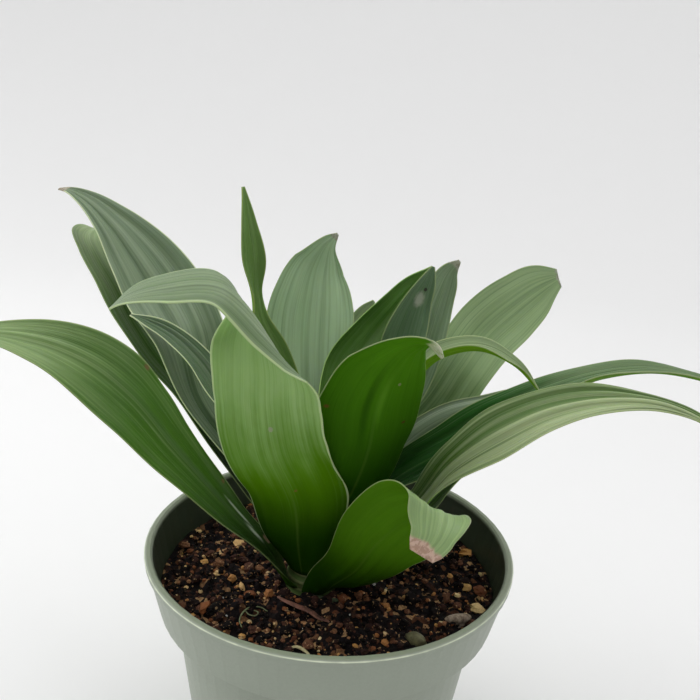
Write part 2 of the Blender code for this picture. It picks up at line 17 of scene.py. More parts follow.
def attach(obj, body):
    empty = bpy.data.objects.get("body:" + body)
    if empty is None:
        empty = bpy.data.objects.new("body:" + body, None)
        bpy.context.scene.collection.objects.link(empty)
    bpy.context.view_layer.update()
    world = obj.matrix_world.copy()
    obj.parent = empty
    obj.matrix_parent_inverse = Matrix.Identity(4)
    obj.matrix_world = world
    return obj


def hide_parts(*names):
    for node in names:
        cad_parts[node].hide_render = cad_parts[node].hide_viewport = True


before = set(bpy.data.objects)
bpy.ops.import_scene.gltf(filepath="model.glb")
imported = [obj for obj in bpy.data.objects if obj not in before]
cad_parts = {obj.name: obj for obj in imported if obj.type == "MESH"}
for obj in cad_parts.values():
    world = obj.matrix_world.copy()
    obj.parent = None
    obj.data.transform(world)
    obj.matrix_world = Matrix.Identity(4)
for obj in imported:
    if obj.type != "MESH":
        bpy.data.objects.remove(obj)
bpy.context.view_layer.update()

LOG = logging.getLogger("potted_dracaena")
MM = 0.001
ROOT_BODY = "root"

Array = np.ndarray
Colour = tuple[float, float, float]
Point = tuple[float, float, float]

# The rim, the cane and the soil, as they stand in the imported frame
RIM_RADIUS = 76.0
STEM_CENTRE = (-7.0, -6.0)
STEM_FOOT = 70.0
STEM_TOP = 152.0
STEM_HEIGHTS = (70.0, 98.0, 110.0, 152.0)
STEM_RADII = (10.6, 10.2, 7.4, 4.0)
SOIL_LEVEL = 94.0
SOIL_HOLE = 11.0
CLOD_PITCH = 6.4
CLOD_RISE = 2.6


class Wire:
    """One value in a material: a node's output, on which arithmetic adds Math nodes."""

    def __init__(self, tree: "NodeTree", socket: bpy.types.NodeSocket) -> None:
        """Keep the tree and the output socket."""
        self.tree = tree
        self.socket = socket

    def __add__(self, other: "Wire | float") -> "Wire":
        """self + other."""
        return self.tree.maths("ADD", self, other)

    def __radd__(self, other: float) -> "Wire":
        """other + self."""
        return self.tree.maths("ADD", other, self)

    def __sub__(self, other: "Wire | float") -> "Wire":
        """self - other."""
        return self.tree.maths("SUBTRACT", self, other)

    def __rsub__(self, other: float) -> "Wire":
        """other - self."""
        return self.tree.maths("SUBTRACT", other, self)

    def __mul__(self, other: "Wire | float") -> "Wire":
        """self * other."""
        return self.tree.maths("MULTIPLY", self, other)

    def __rmul__(self, other: float) -> "Wire":
        """other * self."""
        return self.tree.maths("MULTIPLY", other, self)

    def __truediv__(self, other: "Wire | float") -> "Wire":
        """self / other."""
        return self.tree.maths("DIVIDE", self, other)

    def __pow__(self, other: float) -> "Wire":
        """self to the power other."""
        return self.tree.maths("POWER", self, other)

    def step(self, low: float, high: float) -> "Wire":
        """A smooth step from 0 at low to 1 at high."""
        return self.tree.ramp_value(self, low, high)

    def size(self) -> "Wire":
        """The value without its sign."""
        return self.tree.maths("ABSOLUTE", self)


class NodeTree:
    """The nodes of one material, ending in a Principled shader."""

    def __init__(self, name: str) -> None:
        """Make an empty material with its shader and output.

        Args:
            name: the material's name.
        """
        self.material = bpy.data.materials.new(name)
        self.material.use_nodes = True
        self.nodes = self.material.node_tree.nodes
        self.links = self.material.node_tree.links
        self.shader = self.nodes["Principled BSDF"]

    def node(self, kind: str, settings: dict[str, Any] | None = None,
             inputs: dict[Any, Any] | None = None) -> bpy.types.Node:
        """Add any node.

        Args:
            kind: the node's type.
            settings: its properties, set first; "stops" are a colour ramp's (place, colour) pairs.
            inputs: values or links of its sockets, by name or number.

        Returns:
            The new node.
        """
        made = self.nodes.new(kind)
        for key, value in (settings or {}).items():
            if key == "stops":
                elements = made.color_ramp.elements
                while len(elements) < len(value):
                    elements.new(0.5)
                for element, (place, colour) in zip(elements, value):
                    element.position = place
                    element.color = (*colour, 1.0)
            else:
                setattr(made, key, value)
        for key, value in (inputs or {}).items():
            self.feed(made.inputs[key], value)
        return made

    def feed(self, socket: bpy.types.NodeSocket, value: Any) -> None:
        """Set or link one input socket.

        Args:
            socket: the input.
            value: a Wire, an output socket, a number, or a colour or vector of three numbers.
        """
        if isinstance(value, Wire):
            self.links.new(value.socket, socket)
        elif isinstance(value, bpy.types.NodeSocket):
            self.links.new(value, socket)
        elif isinstance(value, tuple) and socket.type == "RGBA":
            socket.default_value = (*value, 1.0)
        else:
            socket.default_value = value

    def maths(self, operation: str, *values: "Wire | float") -> Wire:
        """A Math node on one or two values."""
        made = self.node("ShaderNodeMath", {"operation": operation}, dict(enumerate(values)))
        return Wire(self, made.outputs[0])

    def ramp_value(self, value: "Wire | float", low: float, high: float) -> Wire:
        """A smooth step of a value: 0 at low, 1 at high."""
        made = self.node(
            "ShaderNodeMapRange",
            {"interpolation_type": "SMOOTHSTEP"},
            {"Value": value, "From Min": low, "From Max": high},
        )
        return Wire(self, made.outputs["Result"])

    def vector(self, x: "Wire | float", y: "Wire | float", z: "Wire | float") -> bpy.types.NodeSocket:
        """A vector from three values."""
        return self.node("ShaderNodeCombineXYZ", None, {0: x, 1: y, 2: z}).outputs[0]

    def attribute(self, name: str) -> tuple[Wire, Wire, Wire]:
        """The three numbers of a vector attribute of the mesh."""
        read = self.node("ShaderNodeAttribute", {"attribute_name": name})
        parts = self.node("ShaderNodeSeparateXYZ", None, {0: read.outputs["Vector"]})
        return tuple(Wire(self, out) for out in parts.outputs)

    def number(self, name: str) -> Wire:
        """A single number attribute of the mesh."""
        read = self.node("ShaderNodeAttribute", {"attribute_name": name})
        return Wire(self, read.outputs["Fac"])

    def place(self) -> bpy.types.NodeSocket:
        """The object's own coordinates, in metres."""
        return self.node("ShaderNodeTexCoord").outputs["Object"]

    def noise(self, vector: Any, scale: float, detail: float = 2.0, rough: float = 0.5) -> Wire:
        """Soft noise, about 0 to 1."""
        made = self.node(
            "ShaderNodeTexNoise",
            {"noise_dimensions": "3D"},
            {"Vector": vector, "Scale": scale, "Detail": detail, "Roughness": rough},
        )
        return Wire(self, made.outputs["Fac"])

    def cells(self, vector: Any, scale: float, output: str = "Distance") -> Any:
        """Rounded cells: the distance to the nearest seed, or its random colour."""
        made = self.node("ShaderNodeTexVoronoi", None, {"Vector": vector, "Scale": scale})
        return made.outputs[output]

    def mix(self, share: "Wire | float", first: Any, second: Any, blend: str = "MIX") -> bpy.types.NodeSocket:
        """A colour between two colours.

        Args:
            share: 0 gives the first and 1 the second.
            first: a colour or colour socket.
            second: a colour or colour socket.
            blend: how the second goes over the first.

        Returns:
            The mixed colour's socket.
        """
        made = self.node("ShaderNodeMix", {"data_type": "RGBA", "blend_type": blend})
        self.feed(made.inputs[0], share)
        self.feed(made.inputs[6], first)
        self.feed(made.inputs[7], second)
        return made.outputs[2]

    def ramp(self, value: Wire, stops: list[tuple[float, Colour]]) -> bpy.types.NodeSocket:
        """A colour ramp over a value."""
        return self.node("ShaderNodeValToRGB", {"stops": stops}, {0: value}).outputs["Color"]

    def bump(self, height: Wire, strength: float, distance: float) -> None:
        """Raise the surface by a height, feeding the shader's Normal.

        Args:
            height: 0 to 1.
            strength: how much of the effect is used.
            distance: the height of 1, in metres.
        """
        made = self.node(
            "ShaderNodeBump", None, {"Height": height, "Strength": strength, "Distance": distance},
        )
        self.feed(self.shader.inputs["Normal"], made.outputs["Normal"])

    def dress(self, **inputs: Any) -> bpy.types.Material:
        """Feed the shader's sockets, with spaces written as underscores.

        Returns:
            The finished material.
        """
        for key, value in inputs.items():
            self.feed(self.shader.inputs[key.replace("_", " ")], value)
        return self.material


@dataclass(frozen=True)
class PotPlastic:
    """Sage green moulded plastic: satin, faintly grained, scuffed, with a greener lip and a painted
    highlight, with some wear in patches, along the lip's outer corner.
    """

    colour: Colour = (0.320, 0.360, 0.290)
    lip: Colour = (0.26, 0.30, 0.21)
    highlight_and_scuff: Colour = (0.78, 0.84, 0.64)
    dusty: Colour = (0.10, 0.085, 0.055)
    shaded: Colour = (0.013, 0.026, 0.007)
    wall_radius: float = 0.0694
    wall_level: float = 0.0885
    wall_lean: float = 0.21

    def material(self) -> bpy.types.Material:
        """Tones from slow and fine noise on object coordinates.

        The wall's middle line is "wall_radius" from the axis at "wall_level" and leans out by
        "wall_lean" for each unit of height. What is nearer the axis is the inner wall, painted almost black
        as shade there, and flecked with soil dust.
        """
        tree = NodeTree("pot_plastic_look")
        place = tree.place()
        parts = tree.node("ShaderNodeSeparateXYZ", None, {0: place})
        x, y, z = (Wire(tree, out) for out in parts.outputs)
        radius = tree.maths("SQRT", x * x + y * y)
        slow = tree.noise(place, 18.0, 2.0)
        fine = tree.noise(place, 900.0, 3.0, 0.6)
        flecks = tree.noise(place, 260.0, 4.0, 0.7)
        patches = tree.noise(place, 120.0, 3.0)
        tone = tree.mix(slow.step(0.35, 0.7) * 0.5, self.colour, tuple(c * 1.10 for c in self.colour))
        tone = tree.mix(fine.step(0.3, 0.75) * 0.20, tone, tuple(c * 0.8 for c in self.colour))
        top = z.step(0.1106, 0.1114) * (1 - radius.step(0.0752, 0.0756))
        tone = tree.mix(top * (0.7 + patches * 0.5), tone, self.lip)
        # painted highlight: the lip's outer corner is turned pale in patches, partly as wear; the same pale
        # colour also marks real scuffs
        corner = radius.step(0.0755, 0.0758) * z.step(0.1108, 0.1113)
        rim_highlight_and_wear = corner * (0.6 + patches.step(0.30, 0.60) * 0.4)
        tone = tree.mix(rim_highlight_and_wear * 0.95, tone, self.highlight_and_scuff)
        middle = self.wall_radius + (z - self.wall_level) * self.wall_lean
        # painted shade: the inner wall is darkened almost to black, then flecked with soil dust
        inside = (middle - radius).step(0.0, 0.0004) * z.step(0.0875, 0.0880) * (1 - z.step(0.1095, 0.1110))
        tone = tree.mix(inside * 0.93, tone, self.shaded)
        tone = tree.mix(inside * flecks.step(0.58, 0.70) * 0.4, tone, self.dusty)
        scuffs = flecks.step(0.72, 0.82) * 0.30
        tone = tree.mix(scuffs * (1 - inside), tone, self.highlight_and_scuff)
        dimples = 1 - Wire(tree, tree.cells(place, 110.0)).step(0.0, 0.10)
        tree.bump(fine * 0.5 + slow * 0.3 - dimples * 0.6, 0.16, 0.0002)
        return tree.dress(Base_Color=tone, Roughness=0.36 + fine * 0.14 + scuffs * 0.4)


@dataclass(frozen=True)
class SoilMix:
    """Damp potting mix: near-black peat with red-brown fibre and tan crumbs."""

    def material(self) -> bpy.types.Material:
        """Cells of random tone darkened by fine noise, with smaller cells as pits."""
        tree = NodeTree("soil_mix_look")
        place = tree.place()
        clods = tree.cells(place, 420.0, "Color")
        tones = tree.node("ShaderNodeSeparateColor", None, {0: clods})
        pick = Wire(tree, tones.outputs[0])
        colour = tree.ramp(pick, [
            (0.0, (0.002, 0.001, 0.002)),
            (0.60, (0.006, 0.003, 0.003)),
            (0.78, (0.040, 0.015, 0.009)),
            (0.90, (0.140, 0.055, 0.024)),
            (0.96, (0.500, 0.290, 0.140)),
        ])
        grain = tree.noise(place, 1500.0, 4.0, 0.7)
        colour = tree.mix(grain.step(0.35, 0.7) * 0.6, colour, (0.006, 0.003, 0.003))
        pits = Wire(tree, tree.cells(place, 620.0))
        tree.bump((1 - pits) * 0.6 + grain * 0.4, 0.9, 0.0009)
        return tree.dress(Base_Color=colour, Roughness=0.80 + grain * 0.15, Specular_IOR_Level=0.2)


@dataclass(frozen=True)
class Crumb:
    """Loose bits of one kind on the soil, each with its own tone."""

    name: str
    stops: tuple[tuple[float, Colour], ...]
    grain: float = 1800.0
    rough: float = 0.82
    fleck: Colour = (0.66, 0.42, 0.23)
    shade: float = 0.6

    def material(self) -> bpy.types.Material:
        """A ramp over each bit's own random number, darkened by fine noise and flecked by a coarser one."""
        tree = NodeTree(self.name + "_look")
        tint = tree.number("tint")
        colour = tree.ramp(tint, list(self.stops))
        grain = tree.noise(tree.place(), self.grain, 3.0, 0.65)
        flecks = tree.noise(tree.place(), self.grain * 0.45, 2.0, 0.5)
        colour = tree.mix(grain.step(0.4, 0.72) * self.shade, colour, (0.006, 0.003, 0.002))
        colour = tree.mix(flecks.step(0.62, 0.70) * 0.6, colour, self.fleck)
        tree.bump(grain * 0.5 + flecks * 0.5, 0.8, 0.0006)
        return tree.dress(Base_Color=colour, Roughness=self.rough + grain * 0.12, Specular_IOR_Level=0.2)


PEAT_CRUMBS = Crumb("peat_crumbs", (
    (0.0, (0.002, 0.001, 0.001)),
    (0.62, (0.005, 0.002, 0.002)),
    (0.80, (0.065, 0.026, 0.018)),
    (0.92, (0.190, 0.080, 0.042)),
    (1.0, (0.480, 0.240, 0.110)),
))
BARK_CHIPS = Crumb("bark_chips", (
    (0.0, (0.10, 0.030, 0.014)),
    (0.40, (0.34, 0.120, 0.040)),
    (0.70, (0.66, 0.350, 0.110)),
    (1.0, (0.95, 0.720, 0.380)),
), 700.0, 0.62, (0.95, 0.72, 0.42), 0.25)
PERLITE = Crumb("perlite_grains", ((0.0, (0.55, 0.52, 0.47)), (1.0, (0.80, 0.79, 0.76))), 1200.0, 0.7)


@dataclass(frozen=True)
class PlainTone:
    """A small natural scrap: one colour with darker mottling."""

    name: str
    colour: Colour
    dark: Colour
    scale: float = 500.0
    rough: float = 0.6

    def material(self) -> bpy.types.Material:
        """Two tones mixed by noise on object coordinates."""
        tree = NodeTree(self.name + "_look")
        grain = tree.noise(tree.place(), self.scale, 4.0, 0.65)
        colour = tree.mix(grain.step(0.35, 0.68), self.colour, self.dark)
        tree.bump(grain, 0.5, 0.0003)
        return tree.dress(Base_Color=colour, Roughness=self.rough + grain * 0.15)


@dataclass(frozen=True)
class Spot:
    """A mark on a blade, placed across (-1 to 1) and along (0 to 1) it: a brown or pale fleck, a painted
    shadow or a painted highlight.

    "blur" is the share of the radius over which it fades; one that fades all the way is hardly ragged.
    """

    across: float
    along: float
    radius: float
    colour: Colour = (0.16, 0.075, 0.025)
    stretch: float = 1.0
    blur: float = 0.4
    strength: float = 0.9


class Face(Enum):
    """The two faces of a blade: the upper has a wax coat and shines, the lower is matt and a livelier green.
    """

    UPPER = "upper"
    UNDER = "under"


@dataclass(frozen=True)
class LeafSkin:
    """Skin of a blade: lengthwise veins, soft pale bands that are partly painted sheen on its ridges, with
    painted shade in the grooves between, a thin pale margin and small marks.

    "foot_shade" is how far painted shade darkens the green toward the foot, fully so before the first of
    "foot_places".
    "sheen_and_wax" is how pale a face is painted, mostly as painted light and sheen with a little wax, fully
    so beyond the second of "sheen_and_wax_places"; the under face has its own "under_sheen_and_wax".
    "sheen_and_wax_side", where it isn't 0, keeps that paleness to the midrib and that side, as painted light
    on the side that faces the light.
    "streak" is how strongly dark streaks and whitish streaks of painted highlight show, "under_lines" the
    share of bands and streaks that the under face shows, and "gloss" how much the upper face mirrors.
    """

    upper: Colour = (0.055, 0.130, 0.010)
    under: Colour = (0.080, 0.200, 0.005)
    pale: Colour = (0.30, 0.39, 0.20)
    under_pale: Colour = (0.26, 0.42, 0.09)
    stripe: float = 0.25
    bands: float = 7.0
    shine: float = 0.40
    margin: Colour = (0.36, 0.42, 0.20)
    margin_width: float = 0.28
    margin_share: float = 0.6
    foot_shade: float = 0.6
    foot_places: tuple[float, float] = (0.05, 0.34)
    sheen_and_wax: float = 0.7
    under_sheen_and_wax: float = 0.1
    sheen_and_wax_places: tuple[float, float] = (0.15, 0.5)
    sheen_and_wax_side: int = 0
    streak: float = 0.5
    under_lines: float = 1.0
    gloss: float = 0.45
    dry_tip: float = 0.0
    dry_light: Colour = (0.44, 0.40, 0.30)
    dry_dark: Colour = (0.26, 0.21, 0.13)
    spots: tuple[Spot, ...] = ()

    def material(self, name: str, face: Face, seed: float) -> bpy.types.Material:
        """Build the skin of one face on the blade's own coordinates.

        The "blade" attribute holds across, along and half the width; "ruler" holds the way from the
        foot, the way in from the margin and the way to the tip, in millimetres. Bands and veins are
        noise stretched along the blade, so they run together at the foot and the tip.

        Args:
            name: the blade's name.
            face: which face it covers.
            seed: moves the noise, so that no two blades are alike.

        Returns:
            The face's material.
        """
        tree = NodeTree(f"{name}_{face.value}_look")
        across, along, half = tree.attribute("blade")
        far, edge, left = tree.attribute("ruler")
        is_upper = face is Face.UPPER
        green = self.upper if is_upper else self.under
        wide = across * half
        broad = tree.noise(tree.vector(across * self.bands, along * 0.8, seed), 1.0, 1.5, 0.5)
        veins = tree.noise(tree.vector(across * 52.0, along * 2.0, seed + 7.0), 1.0, 2.0, 0.6)
        hairs = tree.noise(tree.vector(wide * 4.5, far * 0.05, seed + 5.0), 1.0, 1.0, 0.5)
        mottle = tree.noise(tree.vector(wide * 0.12, far * 0.035, seed + 3.0), 1.0, 3.0, 0.55)
        flecks = tree.noise(tree.vector(wide * 0.9, far * 0.6, seed + 9.0), 1.0, 3.0, 0.6)
        streaks = tree.noise(tree.vector(across * 19.0, along * 1.6, seed + 13.0), 1.0, 2.0, 0.6)
        pale = self.pale if is_upper else self.under_pale
        light = self.pale if is_upper else tuple(c * 1.5 for c in green)
        lines = 1.0 if is_upper else self.under_lines
        stripe, streak = self.stripe * lines, self.streak * lines
        # pale bands, partly painted sheen on the blade's ridges
        colour = tree.mix(broad.step(0.45, 0.75) * stripe, green, light)
        vein_share = veins.step(0.45, 0.80) * (0.10 + 0.25 * streak)
        colour = tree.mix(vein_share, colour, tuple(c * 0.5 for c in green))
        colour = tree.mix(hairs.step(0.55, 0.85) * 0.14, colour, light)
        colour = tree.mix(mottle.step(0.40, 0.75) * 0.25, colour, tuple(c * 1.4 for c in green))
        sheen_and_wax = self.sheen_and_wax if is_upper else self.under_sheen_and_wax
        # painted light and sheen, with a little wax: a pale wash that grows toward the tip behind a ragged
        # front
        ragged_way = along + (mottle - 0.5) * 0.16 + (streaks - 0.5) * 0.14
        # painted shade in the grooves: between the pale bands the pale wash gives way
        grooves = 1 - broad.step(0.40, 0.56)
        sheen_and_wax_share = ragged_way.step(*self.sheen_and_wax_places) * (0.75 + mottle * 0.5) * sheen_and_wax
        sheen_and_wax_share = sheen_and_wax_share * (1 - grooves * stripe * 0.9)
        if self.sheen_and_wax_side:
            sheen_and_wax_share = sheen_and_wax_share * (across * self.sheen_and_wax_side).step(-0.42, -0.18)
        colour = tree.mix(sheen_and_wax_share * (1.1 - veins.step(0.45, 0.80) * 0.35), colour, pale)
        dark_streaks = (1 - streaks.step(0.30, 0.50)) * (0.7 * streak)
        # painted highlights: whitish streaks along the ridges, only where the face is painted pale
        highlight_streaks = streaks.step(0.54, 0.72) * (0.7 * streak * sheen_and_wax)
        colour = tree.mix(dark_streaks, colour, tuple(c * 0.6 for c in green))
        colour = tree.mix(highlight_streaks, colour, tuple(min(c * 1.35, 1.0) for c in pale))
        # painted shade: the green darkens toward the foot, where the leaves above shade it
        deep = (1 - along.step(*self.foot_places)) * self.foot_shade
        colour = tree.mix(deep, colour, (green[0] * 0.12, green[1] * 0.22, green[2] * 0.1))
        rib = (1 - across.size().step(0.0, 0.05)) * (1 - along.step(0.35, 0.8))
        colour = tree.mix(rib * 0.22, colour, (0.14, 0.24, 0.05))
        dull = flecks.step(0.66, 0.80) * 0.10
        colour = tree.mix(dull, colour, light)
        marks = dull
        for spot in self.spots:
            aside = (across - spot.across) * half
            ahead = (along - spot.along) * (far + left) / spot.stretch
            reach = tree.maths("SQRT", aside * aside + ahead * ahead)
            ragged = reach + (flecks - 0.5) * spot.radius * 1.1 * (1.2 - spot.blur)
            mark = 1 - ragged.step(spot.radius * (1 - spot.blur), spot.radius)
            colour = tree.mix(mark * spot.strength, colour, spot.colour)
            marks = marks + mark * (0.6 * (1 - spot.blur))
        rim = (1 - edge.step(self.margin_width * 0.5, self.margin_width)) * along.step(0.02, 0.1)
        colour = tree.mix(rim * self.margin_share, colour, self.margin)
        if self.dry_tip:
            frayed = left + (flecks - 0.5) * 2.0 + (mottle - 0.5) * 7.0
            dry = 1 - frayed.step(self.dry_tip * 0.7, self.dry_tip)
            colour = tree.mix(dry, colour, tree.mix(flecks.step(0.4, 0.6), self.dry_dark, self.dry_light))
            marks = marks + dry * 0.3
        tree.bump(veins * 0.4 + streaks * 0.4 + hairs * 0.2, 0.6 if is_upper else 0.35, 0.0006)
        rough = (self.shine if is_upper else 0.62) + deep * 0.2
        return tree.dress(
            Base_Color=colour,
            Roughness=rough + (veins - 0.5) * 0.10 + marks * 0.4,
            IOR=1.48,
            Specular_IOR_Level=self.gloss if is_upper else 0.04,
            Subsurface_Weight=0.15,
            Subsurface_Radius=(0.5, 1.0, 0.05),
            Subsurface_Scale=0.0012,
        )


def new_piece(name: str, points: Array, faces: list[Array], material: bpy.types.Material,
              smooth: bool = True) -> bpy.types.Object:
    """Put computed points and faces into a mesh object at the origin.

    Args:
        name: the piece's name.
        points: one row a point, in millimetres.
        faces: arrays of point numbers, one row a face, three or four columns.
        material: the piece's material.
        smooth: shade it smooth.

    Returns:
        The new object, linked to the scene.
    """
    mesh = bpy.data.meshes.new(name)
    sizes = np.concatenate([np.full(len(group), group.shape[1]) for group in faces])
    corners = np.concatenate([group.reshape(-1) for group in faces]).astype(np.int32)
    starts = np.concatenate([[0], np.cumsum(sizes)[:-1]]).astype(np.int32)
    mesh.vertices.add(len(points))
    mesh.vertices.foreach_set("co", (points * MM).astype(np.float32).ravel())
    mesh.loops.add(len(corners))
    mesh.loops.foreach_set("vertex_index", corners)
    mesh.polygons.add(len(sizes))
    mesh.polygons.foreach_set("loop_start", starts)
    mesh.update(calc_edges=True)
    mesh.validate()
    if smooth:
        mesh.shade_smooth()
    else:
        mesh.shade_flat()
    mesh.materials.append(material)
    made = bpy.data.objects.new(name, mesh)
    bpy.context.scene.collection.objects.link(made)
    return made


def add_attribute(piece: bpy.types.Object, name: str, values: Array) -> None:
    """Store a number or a vector for each point of a piece."""
    kind = "FLOAT_VECTOR" if values.ndim == 2 else "FLOAT"
    key = "vector" if values.ndim == 2 else "value"
    made = piece.data.attributes.new(name, kind, "POINT")
    made.data.foreach_set(key, values.astype(np.float32).ravel())


def loop_faces(rows: int, columns: int) -> Array:
    """Faces between successive closed loops of points: rows of loops, each with that many columns."""
    row, column = np.meshgrid(np.arange(rows - 1), np.arange(columns), indexing="ij")
    after = (column + 1) % columns
    here = row * columns
    there = here + columns
    return np.stack([here + column, here + after, there + after, there + column], axis=-1).reshape(-1, 4)


def cap_faces(loop: Array, centre: int, forward: bool) -> Array:
    """Triangles that close a loop of point numbers onto one centre point."""
    after = np.roll(loop, -1)
    middle = np.full(len(loop), centre)
    pair = (loop, after) if forward else (after, loop)
    return np.stack([middle, *pair], axis=1)


def unit(vectors: Array) -> Array:
    """Each vector along the last axis brought to length one."""
    return vectors / np.maximum(np.linalg.norm(vectors, axis=-1, keepdims=True), 1e-9)


def smooth_through(places: Array, knots: Array, rows: Array) -> Array:
    """A cubic through the rows at their knots, whose slopes weigh both neighbours.

    Args:
        places: where the curve is read, 0 to 1.
        knots: each row's place.
        rows: the values that the curve passes through.

    Returns:
        One row of values for each place.
    """
    steps = np.diff(knots)[:, None]
    slopes = np.diff(rows, axis=0) / steps
    tangents = np.empty_like(rows)
    tangents[0] = slopes[0]
    tangents[-1] = slopes[-1]
    tangents[1:-1] = (slopes[:-1] * steps[1:] + slopes[1:] * steps[:-1]) / (steps[1:] + steps[:-1])
    index = np.clip(np.searchsorted(knots, places, side="right") - 1, 0, len(knots) - 2)
    length = (knots[index + 1] - knots[index])[:, None]
    part = (places - knots[index])[:, None] / length
    rest = 1 - part
    start = rows[index] * (1 + 2 * part) * rest**2 + tangents[index] * length * part * rest**2
    end = rows[index + 1] * part**2 * (3 - 2 * part) - tangents[index + 1] * length * part**2 * rest
    return start + end


def value_noise(x: Array, y: Array, cell: float, seed: int) -> Array:
    """Smooth noise, 0 to 1: random heights on a square lattice, blended by a cubic step.

    Args:
        x: places in millimetres.
        y: places in millimetres.
        cell: the lattice's pitch in millimetres.
        seed: picks the heights.

    Returns:
        The noise at each place.
    """
    table = np.random.default_rng(seed).random((61, 61))
    gx, gy = x / cell, y / cell
    ix, iy = np.floor(gx).astype(int), np.floor(gy).astype(int)
    fx, fy = gx - ix, gy - iy
    fx, fy = fx * fx * (3 - 2 * fx), fy * fy * (3 - 2 * fy)
    low = table[ix % 61, iy % 61] * (1 - fx) + table[(ix + 1) % 61, iy % 61] * fx
    high = table[ix % 61, (iy + 1) % 61] * (1 - fx) + table[(ix + 1) % 61, (iy + 1) % 61] * fx
    return low * (1 - fy) + high * fy


def lumps(x: Array, y: Array, cell: float, seed: int) -> Array:
    """Rounded lumps, 0 to 1: the highest of the domes that stand one in each jittered cell.

    A dome is 1 less the square of the distance over its radius, times its own height.
    """
    random = np.random.default_rng(seed)
    jitter = random.random((53, 53, 2))
    radius = random.uniform(0.45, 0.95, (53, 53))
    rise = random.uniform(0.2, 1.0, (53, 53))
    ix, iy = np.floor(x / cell).astype(int), np.floor(y / cell).astype(int)
    top = np.zeros_like(x)
    for dx in (-1, 0, 1):
        for dy in (-1, 0, 1):
            cx, cy = ix + dx, iy + dy
            px = (cx + jitter[cx % 53, cy % 53, 0]) * cell
            py = (cy + jitter[cx % 53, cy % 53, 1]) * cell
            away = ((x - px) ** 2 + (y - py) ** 2) / (radius[cx % 53, cy % 53] * cell) ** 2
            top = np.maximum(top, rise[cx % 53, cy % 53] * np.clip(1 - away, 0, 1))
    return top


def globe(rings: int, sides: int) -> tuple[Array, list[Array]]:
    """A unit ball: rings of points between two poles, turned half a side from one ring to the next.

    Returns:
        Its points and its faces.
    """
    tilt = np.pi * (np.arange(rings) + 1) / (rings + 1)
    turn = 2 * np.pi * (np.arange(sides)[None, :] + 0.5 * np.arange(rings)[:, None]) / sides
    ball = np.stack([
        np.sin(tilt)[:, None] * np.cos(turn),
        np.sin(tilt)[:, None] * np.sin(turn),
        -np.cos(tilt)[:, None] * np.ones_like(turn),
    ], axis=-1).reshape(-1, 3)
    points = np.concatenate([ball, [(0, 0, -1), (0, 0, 1)]])
    first = np.arange(sides)
    last = (rings - 1) * sides + first
    faces = [
        loop_faces(rings, sides),
        cap_faces(first, rings * sides, False),
        cap_faces(last, rings * sides + 1, True),
    ]
    return points, faces


def tube(path: Array, radii: Array, sides: int, flat: float = 1.0) -> tuple[Array, list[Array]]:
    """A closed tube along a path: each loop is an ellipse square to the path.

    Args:
        path: points of its centre line.
        radii: its radius at each point.
        sides: points round it.
        flat: its height as a share of its width.

    Returns:
        Its points and its faces.
    """
    tangent = unit(np.gradient(path, axis=0))
    side = unit(np.cross(tangent, np.array([0.0, 0.0, 1.0]) + 0.01 * tangent[:, ::-1]))
    above = np.cross(side, tangent)
    turn = 2 * np.pi * np.arange(sides) / sides
    loops = (path[:, None, :]
             + side[:, None, :] * (radii[:, None] * np.cos(turn))[..., None]
             + above[:, None, :] * (radii[:, None] * np.sin(turn) * flat)[..., None])
    points = np.concatenate([loops.reshape(-1, 3), path[:1], path[-1:]])
    count = len(path)
    first = np.arange(sides)
    last = (count - 1) * sides + first
    faces = [
        loop_faces(count, sides),
        cap_faces(first, count * sides, False),
        cap_faces(last, count * sides + 1, True),
    ]
    return points, faces


def stem_radius(height: float) -> float:
    """The cane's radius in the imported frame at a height."""
    return float(np.interp(height, STEM_HEIGHTS, STEM_RADII))


def soil_height(x: Array, y: Array) -> Array:
    """The soil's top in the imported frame: a low mound, clods, slow swells and standing chips."""
    reach = np.hypot(x, y) / RIM_RADIUS
    height = SOIL_LEVEL + 1.6 * (1 - reach**2) + CLOD_RISE * (lumps(x, y, CLOD_PITCH, 3) - 0.3)
    height = height + 0.7 * np.sin(0.11 * x + 0.5) * np.cos(0.13 * y - 0.9)
    height = height + 0.5 * np.sin(0.19 * y + 0.07 * x + 2.0)
    random = np.random.default_rng(12)
    for _ in range(70):
        angle = random.uniform(0, 2 * math.pi)
        radius = 66.0 * math.sqrt(random.uniform(0.05, 1.0))
        size = random.uniform(2.6, 4.6)
        rise = random.uniform(0.6, 1.9)
        distance = np.hypot(x - radius * math.cos(angle), y - radius * math.sin(angle))
        height = height + rise * np.clip(1.25 - distance / size, 0, 1)
    near_stem = np.hypot(x - STEM_CENTRE[0], y - STEM_CENTRE[1])
    calm = np.clip((near_stem - STEM_RADII[0]) / 9.0, 0, 1)
    return 95.2 * (1 - calm) + height * calm


def crumbly_height(x: Array, y: Array) -> Array:
    """The fine soil top: the frame's height with lumps of two smaller sizes pressed into it."""
    rough = 1.3 * lumps(x + 31.0, y - 17.0, 2.7, 4) + 0.6 * lumps(x, y, 1.3, 5)
    rough = rough + 0.4 * value_noise(x, y, 5.0, 6)
    return soil_height(x, y) + rough - 0.9


@dataclass(frozen=True)
class Roll:
    """A margin that bends toward the under face: its side (-1 or 1), from one place along the blade to
    another, from where across it, and by how many radians at the margin."""

    side: int
    begin: float
    end: float
    start: float
    amount: float


@dataclass(frozen=True)
class Swell:
    """A wave of one margin: the side (-1 or 1), its middle and half length along the blade, its height."""

    side: int
    middle: float
    reach: float
    height: float


@dataclass(frozen=True)
class Tug:
    """A short stretch of one margin, drawn outward (or inward where negative) by some millimetres."""

    side: int
    middle: float
    reach: float
    draw: float


